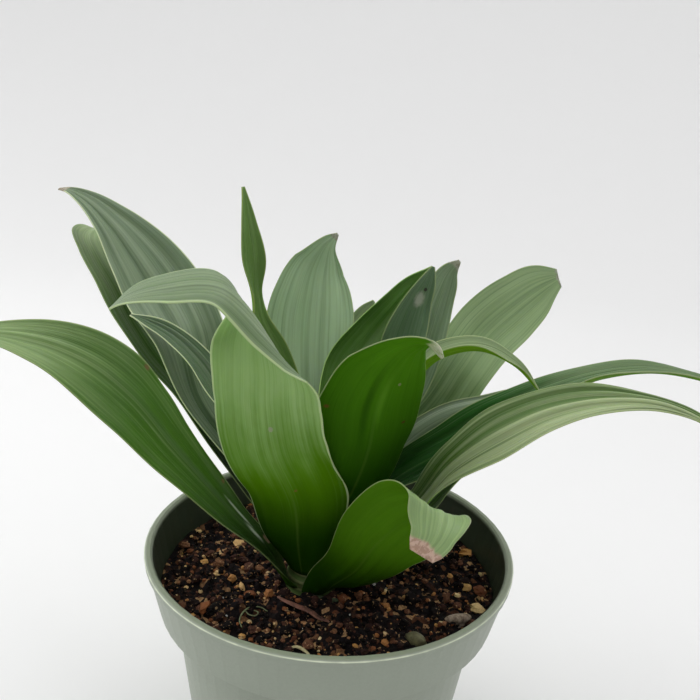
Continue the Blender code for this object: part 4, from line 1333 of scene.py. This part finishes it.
PLANT = [
    Leaf(
        "leaf_left_front",
        root=(206, 96.6, 14),
        cup=(0.4, 0.3, 0.18),
        line=[
            (-24, -14, 111, 0.8, -0.1, 0.5, 12), (-41, -20, 134, 0.7, -0.5, 0.4, 15),
            (-61, -27, 162, 0.7, -0.6, 0.3, 24), (-75, -34, 184, 0.7, -0.6, 0.4, 29),
            (-87, -40, 197, 0.6, -0.6, 0.5, 26), (-101, -45, 205, 0.4, -0.5, 0.8, 19),
            (-116, -48, 208, 0.2, -0.2, 1.0, 11), (-128, -50, 206, 0.0, -0.1, 1.0, 6),
            (-136, -51, 203, -0.2, 0.0, 1.0, 1.4),
        ],
        rolls=(Roll(-1, 0.1, 0.66, 0.0, 0.8),),
        skin=LeafSkin(
            upper=(0.050, 0.150, 0.004), pale=(0.34, 0.46, 0.20), stripe=0.15, streak=0.4, sheen_and_wax=0.66,
            sheen_and_wax_places=(0.54, 0.92), foot_shade=0.75, foot_places=(0.1, 0.5),
            spots=(
                Spot(-0.94, 0.60, 1.2, (0.20, 0.11, 0.05), 1.6, 0.8),
                Spot(-0.85, 0.30, 1.0, (0.20, 0.11, 0.05), 1.5, 0.8),
                # painted highlights: two whitish streaks of sheen in the channel near the foot
                Spot(-0.45, 0.22, 0.9, (0.50, 0.58, 0.44), 14.0, 0.8),
                Spot(-0.25, 0.16, 0.7, (0.50, 0.58, 0.44), 12.0, 0.8),
                Spot(-0.7, 0.12, 1.0, (0.30, 0.20, 0.13), 3.0),
            ),
        ),
        grooves=0.28,
        seed=1,
    ),
    Leaf(
        "leaf_left_tall",
        root=(165, 116, 9),
        cup=(0.32, 0.25, 0.15),
        line=[
            (-24, -1, 130, 0.9, -0.3, 0.4, 14), (-42, 4, 150, 0.9, -0.4, 0.4, 22),
            (-57, 10, 168, 0.8, -0.5, 0.4, 28), (-66, 21, 192, 0.5, -0.7, 0.5, 34),
            (-78, 32, 206, 0.3, -0.7, 0.6, 35), (-89, 38, 219, 0.4, -0.7, 0.6, 30),
            (-102, 43, 232, 0.4, -0.5, 0.7, 20), (-113, 46, 240, 0.3, -0.4, 0.8, 12),
            (-121, 48, 243, 0.2, -0.4, 0.9, 5), (-126, 50, 243, 0.2, -0.4, 0.9, 1.4),
        ],
        skin=LeafSkin(
            upper=(0.048, 0.110, 0.034), pale=(0.25, 0.33, 0.20), stripe=0.50, bands=8.0, sheen_and_wax=0.6,
            margin=(0.60, 0.68, 0.42), margin_width=0.45, margin_share=0.85, dry_tip=5.0,
        ),
        grooves=0.40,
        seed=2,
    ),
    Leaf(
        "leaf_left_behind",
        root=(172, 108, 10),
        cup=(0.32, 0.25, 0.15),
        line=[
            (-26, 0, 121, 0.8, -0.2, 0.5, 14), (-41, 5, 138, 0.8, -0.3, 0.6, 16),
            (-55, 10, 158, 0.7, -0.4, 0.7, 17), (-65, 16, 170, 0.6, -0.5, 0.7, 18),
            (-77.5, 22, 181, 0.6, -0.5, 0.7, 20), (-88.5, 29, 193, 0.6, -0.4, 0.7, 23),
            (-98, 36, 206, 0.6, -0.3, 0.8, 24), (-107, 43, 216, 0.5, -0.2, 0.9, 23),
            (-113, 51, 222, 0.3, 0.1, 0.9, 19), (-114, 61, 224, 0.2, 0.6, 0.7, 11),
            (-110, 72, 221, 0.2, 0.8, 0.5, 1.4),
        ],
        skin=LeafSkin(
            upper=(0.055, 0.140, 0.012), pale=(0.36, 0.47, 0.23), stripe=0.20, streak=0.3,
            sheen_and_wax_places=(0.55, 0.95), foot_shade=0.85, foot_places=(0.15, 0.6),
        ),
        grooves=0.25,
        seed=3,
    ),
    Leaf(
        "leaf_left_small",
        root=(190, 124, 8),
        cup=(0.32, 0.5, 0.4),
        line=[
            (-22, -6, 136, 0.9, 0.0, 0.4, 12), (-33, -6, 152, 0.8, -0.1, 0.6, 15),
            (-46, -3, 172, 0.6, -0.4, 0.7, 16), (-58, 3, 186, 0.5, -0.5, 0.8, 14),
            (-69, 8, 194, 0.4, -0.5, 0.8, 10), (-79, 11, 198, 0.3, -0.5, 0.9, 6),
            (-86, 13, 200, 0.2, -0.4, 0.9, 1.4),
        ],
        skin=LeafSkin(
            upper=(0.035, 0.100, 0.024), pale=(0.28, 0.34, 0.24), stripe=0.30, bands=9.0, sheen_and_wax=0.25,
            gloss=0.25, margin=(0.60, 0.68, 0.42), margin_width=0.4, margin_share=0.8,
        ),
        grooves=0.25,
        seed=4,
    ),
    Leaf(
        "leaf_front_arched",
        root=(250, 104, 18),
        cup=(0.4, 0.22, 0.15, -0.3, -0.12, 0.0),
        line=[
            (-12, -20, 118, 0.1, 0.9, 0.3, 30), (-14, -28, 143, 0.1, 0.9, 0.3, 41),
            (-22, -38, 168, 0.1, 0.9, 0.2, 41), (-24, -48, 190, 0.15, 0.9, 0.2, 38),
            (-24, -55, 207, 0.35, 0.9, 0.3, 37), (-27, -59, 222, 0.7, 0.4, 0.6, 33),
            (-37, -61, 234, 0.45, 0.0, 0.9, 28), (-54, -63, 233, 0.1, -0.1, 1.0, 24),
            (-65, -65, 229, -0.1, -0.1, 1.0, 13), (-70, -66, 225, -0.2, 0.0, 1.0, 1.4),
        ],
        cup_places=(0.0, 0.3, 0.5, 0.66, 0.85, 1.0),
        rolls=(Roll(1, 0.57, 0.84, 0.4, 0.7), Roll(1, 0.28, 0.56, 0.6, 0.8), Roll(1, 0.19, 0.41, 0.84, 2.3),),
        skin=LeafSkin(
            under=(0.085, 0.225, 0.001), upper=(0.075, 0.150, 0.040), pale=(0.205, 0.285, 0.150),
            margin=(0.50, 0.62, 0.32), under_pale=(0.30, 0.47, 0.17), stripe=0.6, streak=0.7,
            under_lines=0.2, bands=6.0, sheen_and_wax=0.9, under_sheen_and_wax=0.9, sheen_and_wax_places=(0.26, 0.62),
            foot_shade=0.97, foot_places=(0.09, 0.36), margin_width=0.8, margin_share=0.85,
            spots=(
                Spot(0.1, 0.27, 0.9, (0.20, 0.13, 0.03), 1.0, 0.8),
                Spot(0.05, 0.46, 1.0, (0.32, 0.36, 0.22), 1.8),
            ),
        ),
        grooves=0.28,
        seed=5,
    ),
    Leaf(
        "leaf_spear",
        root=(130, 141, 8),
        cup=(0.35, 0.5, 0.4),
        line=[
            (-13, 2, 155, 0.3, -0.9, 0.2, 12), (-21, 5, 172, 0.4, -0.8, 0.2, 15),
            (-28, 7, 190, 0.5, -0.8, 0.2, 14), (-34, 8, 203, 0.7, -0.7, 0.1, 9),
            (-36, 9, 213, 0.8, -0.5, 0.1, 8), (-38, 10, 228, 0.6, -0.8, 0.1, 11),
            (-40, 11, 241, 0.7, -0.7, 0.1, 8), (-42, 12, 254, 0.8, -0.6, 0.1, 1.4),
        ],
        skin=LeafSkin(
            upper=(0.090, 0.220, 0.012), under=(0.090, 0.220, 0.012), stripe=0.20, sheen_and_wax=0.2,
            under_sheen_and_wax=0.2, margin=(0.34, 0.40, 0.14),
        ),
        grooves=0.15,
        seed=6,
    ),
    Leaf(
        "leaf_back_upright",
        root=(98, 122, 9),
        cup=(0.32, 0.3, 0.2),
        line=[
            (-11, 9, 134, 0.0, -0.9, 0.2, 18), (-12, 18, 150, 0.0, -0.9, 0.3, 29),
            (-14, 26, 166, 0.1, -0.9, 0.3, 36), (-16, 34, 184, 0.2, -0.9, 0.3, 40),
            (-16, 42, 204, 0.4, -0.9, 0.3, 38), (-14, 48, 218, 0.5, -0.8, 0.2, 26),
            (-10, 51, 227, 0.6, -0.8, 0.0, 10), (-6, 54, 231, 0.6, -0.8, -0.1, 1.4),
        ],
        skin=LeafSkin(
            upper=(0.070, 0.140, 0.045), pale=(0.40, 0.55, 0.33), streak=0.2, stripe=0.25, bands=9.0,
            sheen_and_wax=0.9, sheen_and_wax_places=(0.1, 0.4), dry_tip=3.5, dry_light=(0.46, 0.46, 0.36),
            dry_dark=(0.30, 0.30, 0.21),
        ),
        grooves=0.42,
        ripple=0.1,
        swells=(Swell(side=-1, middle=0.51, reach=0.22, height=-1.1),),
        seed=7,
    ),
    Leaf(
        "leaf_front_dark",
        root=(310, 113, 9),
        cup=(0.32, 0.3, 0.2),
        line=[
            (0, -17, 127, -0.3, 0.9, 0.3, 23), (7, -24, 147, -0.4, 0.9, 0.3, 36),
            (12, -31, 169, -0.4, 0.9, 0.3, 42), (14, -36, 190, -0.4, 0.9, 0.3, 42),
            (18, -40, 203, -0.4, 0.8, 0.5, 34), (23, -43, 211, -0.3, 0.6, 0.7, 22),
            (28, -45, 214, 0.0, 0.4, 1.0, 15), (33.0, -46, 210, 0.5, 0.2, 0.8, 6),
        ],
        skin=LeafSkin(
            under=(0.055, 0.195, 0.0), upper=(0.08, 0.14, 0.05), stripe=0.12, streak=0.35, foot_shade=0.9,
            foot_places=(0.2, 1.0), dry_tip=6.0, dry_light=(0.60, 0.62, 0.46), dry_dark=(0.42, 0.48, 0.26),
            under_sheen_and_wax=0.05,
            spots=(
                # painted shadow beside the midrib, and a painted light band next to it
                Spot(-0.18, 0.66, 2.4, (0.010, 0.050, 0.0), 12.0, 1.0, 0.62),
                Spot(0.05, 0.70, 2.2, (0.12, 0.30, 0.02), 8.0, 1.0, 0.5),
                Spot(0.62, 0.58, 1.5, (0.09, 0.035, 0.015), 0.5, 0.7),
                Spot(-0.84, 0.66, 1.5, (0.16, 0.07, 0.02), 0.6, 0.8),
                Spot(0.3, 0.75, 0.8, (0.2, 0.22, 0.1)),
            ),
        ),
        grooves=0.20,
        tugs=(Tug(-1, 0.955, 0.06, 2.0), Tug(1, 0.97, 0.05, 0.8)),
        seed=8,
    ),
    Leaf(
        "leaf_front_folded",
        root=(304, 96.3, 20),
        cup=(0.48, 0.2, 0.1),
        line=[
            (2, -23, 105, 0.05, 0.9, 0.3, 21), (10, -32, 118, 0.2, 0.9, 0.3, 26),
            (18, -41, 137, 0.4, 0.8, 0.3, 33), (27, -49, 151, 0.4, 0.8, 0.3, 33),
            (36, -56, 159, 0.5, 0.0, 0.9, 27), (35, -62, 154, 0.0, -0.9, 0.3, 18),
            (31, -65, 147, 0.0, -0.9, 0.3, 8),
        ],
        skin=LeafSkin(
            streak=0.2, under=(0.055, 0.165, 0.0), upper=(0.100, 0.190, 0.050), pale=(0.33, 0.47, 0.20),
            stripe=0.25, sheen_and_wax=0.85, under_sheen_and_wax=0.05, foot_shade=0.9, foot_places=(0.08, 0.5), dry_tip=4.8,
            dry_light=(0.66, 0.47, 0.37), dry_dark=(0.46, 0.29, 0.21),
        ),
        grooves=0.20,
        tugs=(
            Tug(1, 0.80, 0.05, -1.2), Tug(1, 0.87, 0.06, -1.4), Tug(1, 0.92, 0.05, -1.5),
            Tug(-1, 0.97, 0.06, 1.0),
        ),
        seed=9,
    ),
    Leaf(
        "leaf_right_striped",
        root=(352, 104, 10),
        cup=(0.32, 0.3, 0.2),
        line=[
            (16, -10, 121, -0.8, 0.1, 0.5, 16), (32, -21, 140, -0.8, -0.1, 0.6, 19),
            (44, -28, 162.5, -0.8, -0.2, 0.6, 22), (59, -31, 177, -0.7, -0.4, 0.6, 25),
            (75, -35, 189, -0.5, -0.4, 0.8, 20), (91, -40, 196, -0.2, -0.3, 0.9, 15),
            (107, -44, 198, 0.1, -0.2, 1.0, 10), (122, -46, 194, 0.3, -0.2, 0.9, 7),
            (134, -48, 187, 0.5, -0.2, 0.8, 1.4),
        ],
        skin=LeafSkin(
            upper=(0.065, 0.150, 0.015), pale=(0.42, 0.50, 0.27), stripe=0.60, bands=7.0, sheen_and_wax=0.75,
            sheen_and_wax_places=(0.05, 0.3), sheen_and_wax_side=-1, streak=0.8, margin_width=0.35,
        ),
        grooves=0.50,
        seed=10,
    ),
    Leaf(
        "leaf_right_long",
        root=(5, 117, 9),
        cup=(0.32, 0.35, 0.3),
        line=[
            (14, -2, 132, -0.8, -0.1, 0.5, 16), (30, 1, 145, -0.7, -0.3, 0.6, 22),
            (47, -1, 158, -0.6, -0.4, 0.7, 24), (62, -4, 172, -0.6, -0.3, 0.7, 23),
            (78, -8, 185, -0.5, -0.2, 0.8, 19), (98, -11, 196, -0.2, 0.0, 1.0, 15),
            (118, -13, 200, 0.0, 0.0, 1.0, 11), (134, -14, 198, 0.1, 0.0, 1.0, 8),
            (148, -15, 194, 0.2, 0.0, 1.0, 1.4),
        ],
        skin=LeafSkin(
            upper=(0.012, 0.105, 0.002), pale=(0.20, 0.27, 0.14), stripe=0.15, sheen_and_wax=0.7,
            sheen_and_wax_places=(0.45, 0.7), gloss=0.25, foot_shade=0.9, foot_places=(0.1, 0.5),
        ),
        grooves=0.40,
        seed=11,
    ),
    Leaf(
        "leaf_right_pale",
        root=(22, 112, 9),
        cup=(0.32, 0.35, 0.25),
        line=[
            (13, 7, 126, -0.7, -0.4, 0.5, 15), (28, 15, 140, -0.55, -0.65, 0.55, 24),
            (46, 20, 155.5, -0.4, -0.5, 0.8, 25), (67, 21, 165.5, -0.3, -0.3, 0.9, 20),
            (88, 21, 175, -0.3, -0.2, 0.9, 13), (106, 23, 182, -0.2, -0.2, 1.0, 1.4),
        ],
        skin=LeafSkin(
            upper=(0.070, 0.130, 0.050), pale=(0.34, 0.42, 0.29), stripe=0.55, bands=9.0, sheen_and_wax=0.8,
            sheen_and_wax_places=(0.2, 0.35),
        ),
        grooves=0.40,
        seed=12,
    ),
    Leaf(
        "leaf_right_narrow",
        root=(335, 131, 8),
        cup=(0.32, 0.6, 0.5),
        line=[
            (7, -11, 148, -0.8, 0.3, 0.3, 12), (17, -9, 169, -0.8, 0.3, 0.4, 15),
            (27, -10, 187, -0.8, 0.2, 0.5, 15), (38, -12, 200, -0.45, 0.02, 0.85, 15),
            (51, -14, 204, -0.1, -0.08, 0.97, 12), (63, -16, 200, 0.3, -0.15, 0.88, 8),
            (73, -18, 191, 0.5, 0.0, 0.8, 1.4),
        ],
        skin=LeafSkin(
            upper=(0.060, 0.130, 0.025), under=(0.130, 0.300, 0.006), pale=(0.32, 0.42, 0.21), stripe=0.25,
        ),
        grooves=0.15,
        seed=13,
    ),
    Leaf(
        "leaf_right_oval",
        root=(68, 107, 9),
        cup=(0.32, 0.25, 0.15),
        line=[
            (9, 19, 125, -0.6, -0.6, 0.4, 16), (24, 29, 143, -0.4, -0.8, 0.4, 24),
            (42, 36, 163, 0.1, -0.9, 0.4, 28), (51, 36, 181, 0.2, -0.9, 0.3, 30),
            (61, 44, 194, 0.2, -0.9, 0.3, 31), (74, 51, 205, 0.3, -0.9, 0.2, 30),
            (86, 57, 213, 0.3, -0.9, 0.1, 22), (94, 60, 217, 0.3, -0.9, 0.0, 9),
        ],
        skin=LeafSkin(
            upper=(0.060, 0.150, 0.030), pale=(0.33, 0.46, 0.22), stripe=0.25, streak=0.35, bands=9.0,
            sheen_and_wax=0.9, sheen_and_wax_places=(0.25, 0.62), foot_shade=0.6, foot_places=(0.1, 0.5), dry_tip=1.6,
            dry_light=(0.52, 0.54, 0.42), dry_dark=(0.36, 0.36, 0.27),
        ),
        grooves=0.25,
        seed=14,
    ),
    Leaf(
        "leaf_inner_dark",
        root=(44, 136, 8),
        cup=(0.35, 0.5, 0.3),
        line=[
            (9, 4, 154, -0.7, -0.6, 0.2, 14), (16, 9, 170, -0.5, -0.8, 0.2, 18),
            (22, 13, 184, -0.3, -0.9, 0.1, 20), (25, 15, 202, 0.0, -1.0, 0.1, 18),
            (28, 16, 213, 0.2, -1.0, 0.0, 13), (32, 17, 223, 0.3, -0.9, 0.0, 6),
            (33.5, 18, 227, 0.3, -0.9, 0.0, 1.4),
        ],
        skin=LeafSkin(
            upper=(0.038, 0.110, 0.028), pale=(0.24, 0.35, 0.21), stripe=0.20, streak=0.3, sheen_and_wax=0.32,
            spots=(
                Spot(-0.1, 0.86, 2.8, (0.42, 0.45, 0.36), 1.6, 0.7),
                Spot(-0.25, 0.905, 0.9, (0.03, 0.02, 0.015)),
            ),
        ),
        grooves=0.20,
        seed=15,
    ),
    Leaf(
        "leaf_inner_pale",
        root=(28, 126, 8),
        cup=(0.35, 0.4, 0.3),
        line=[
            (8, 8, 142, -0.6, -0.7, 0.3, 14), (19, 16, 160, -0.5, -0.8, 0.3, 20),
            (28, 21, 178, -0.3, -0.9, 0.1, 22), (33, 25, 200, 0.1, -1.0, 0.1, 20),
            (37, 27, 215, 0.3, -0.9, 0.0, 16), (41, 28, 224, 0.3, -0.9, -0.1, 9),
            (45, 28, 228, 0.3, -0.9, -0.1, 1.4),
        ],
        skin=LeafSkin(
            upper=(0.060, 0.140, 0.040), pale=(0.32, 0.43, 0.26), stripe=0.25, streak=0.3, sheen_and_wax=0.75,
            sheen_and_wax_places=(0.3, 0.8), dry_tip=4.0, dry_light=(0.46, 0.46, 0.36), dry_dark=(0.30, 0.30, 0.21),
        ),
        grooves=0.25,
        seed=16,
    ),
    Leaf(
        "leaf_inner_channelled",
        root=(84, 131, 8),
        cup=(0.35, 0.6, 0.5),
        line=[
            (-4, 11, 147, -0.2, -0.9, 0.3, 16), (0, 18, 163, 0.0, -0.9, 0.3, 23),
            (2, 28, 179, 0.1, -0.9, 0.3, 25), (11, 34, 192, 0.1, -0.9, 0.2, 23),
            (21, 36, 206, 0.2, -0.9, 0.2, 17), (29, 39, 216, 0.2, -0.9, 0.1, 10),
            (35, 40, 222, 0.3, -0.9, 0.0, 1.4),
        ],
        skin=LeafSkin(
            upper=(0.065, 0.215, 0.003), under=(0.085, 0.220, 0.003), stripe=0.25, sheen_and_wax=0.25,
            foot_shade=0.8, foot_places=(0.1, 0.62), margin=(0.42, 0.60, 0.22), margin_width=0.45,
            margin_share=0.8,
        ),
        grooves=0.20,
        seed=17,
    ),
    Leaf(
        "leaf_back_small",
        root=(86, 113, 8),
        cup=(0.35, 0.4, 0.3),
        line=[
            (-6, 17, 134, 0.0, -0.9, 0.3, 14), (-3, 32, 154, 0.0, -0.8, 0.5, 20),
            (1, 41, 174, 0.1, -0.8, 0.5, 20), (6, 50, 190, 0.3, -0.8, 0.4, 14),
            (9, 55, 197, 0.5, -0.8, 0.3, 8), (12, 58, 201, 0.6, -0.7, 0.2, 1.4),
        ],
        skin=LeafSkin(upper=(0.065, 0.140, 0.035), stripe=0.25),
        grooves=0.20,
        seed=18,
    ),
    Leaf(
        "leaf_right_low",
        root=(13, 98, 9),
        cup=(0.32, 0.3, 0.2),
        line=[
            (17, 1, 109, -0.6, 0.1, 0.7, 15), (30, 3, 119, -0.7, -0.1, 0.7, 18),
            (40, 4, 130, -0.7, -0.2, 0.7, 18), (48, 6, 141, -0.7, -0.3, 0.7, 16),
            (54, 9, 149, -0.6, -0.3, 0.7, 11), (58, 13, 155, -0.5, -0.3, 0.8, 1.4),
        ],
        skin=LeafSkin(upper=(0.045, 0.140, 0.006), stripe=0.25, sheen_and_wax=0.2),
        grooves=0.30,
        seed=19,
    ),
    Leaf(
        "leaf_rear_left",
        root=(116, 100, 9),
        cup=(0.32, 0.3, 0.2),
        line=[
            (-12, 18, 116, 0.1, -0.7, 0.7, 18), (-16, 34, 136, 0.1, -0.7, 0.7, 30),
            (-22, 52, 156, 0.1, -0.6, 0.8, 38), (-30, 72, 170, 0.0, -0.3, 0.9, 36),
            (-38, 92, 176, 0.0, 0.0, 1.0, 26), (-44, 110, 174, 0.0, 0.3, 1.0, 12),
            (-48, 120, 170, 0.0, 0.4, 0.9, 1.4),
        ],
        skin=LeafSkin(upper=(0.055, 0.135, 0.018), stripe=0.30),
        grooves=0.35,
        seed=20,
    ),
    Leaf(
        "leaf_rear_right",
        root=(62, 101, 10),
        cup=(0.32, 0.3, 0.2),
        line=[
            (8, 15, 112, -0.6, -0.4, 0.7, 18), (21, 32, 127, -0.5, -0.5, 0.7, 26),
            (36, 51, 143, -0.4, -0.5, 0.7, 33), (49, 69, 155, -0.2, -0.3, 0.9, 32),
            (60, 87, 161, 0.0, 0.0, 1.0, 22), (68, 101, 160, 0.1, 0.2, 1.0, 10),
            (73, 110, 157, 0.2, 0.3, 0.9, 1.4),
        ],
        skin=LeafSkin(upper=(0.050, 0.135, 0.018), stripe=0.30, bands=8.0),
        grooves=0.35,
        seed=21,
    ),
]


def main() -> None:
    """Build each sub-assembly in order, seat it on the frame and report it."""
    logging.basicConfig(level=logging.INFO, format="%(name)s: %(message)s")
    Studio().build()
    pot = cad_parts["pot"]
    pot.data.materials.clear()
    pot.data.materials.append(PotPlastic().material())
    LOG.info("pot: the frame's own node, in %s", pot.data.materials[0].name)
    for leaf in PLANT:
        blade = leaf.build()
        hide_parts(leaf.name)
        seat(blade)
    cane = Cane().build()
    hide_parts("stem")
    seat(cane)
    body, *loose = Soil().build()
    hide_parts("soil")
    for piece in [body, *loose, *SoilLitter().build()]:
        seat(piece)


def seat(piece: bpy.types.Object) -> None:
    """Make a piece ride on the frame's one body."""
    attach(piece, ROOT_BODY)
    LOG.info("%s: %d points, %d faces", piece.name, len(piece.data.vertices), len(piece.data.polygons))


if __name__ == "__main__":
    main()
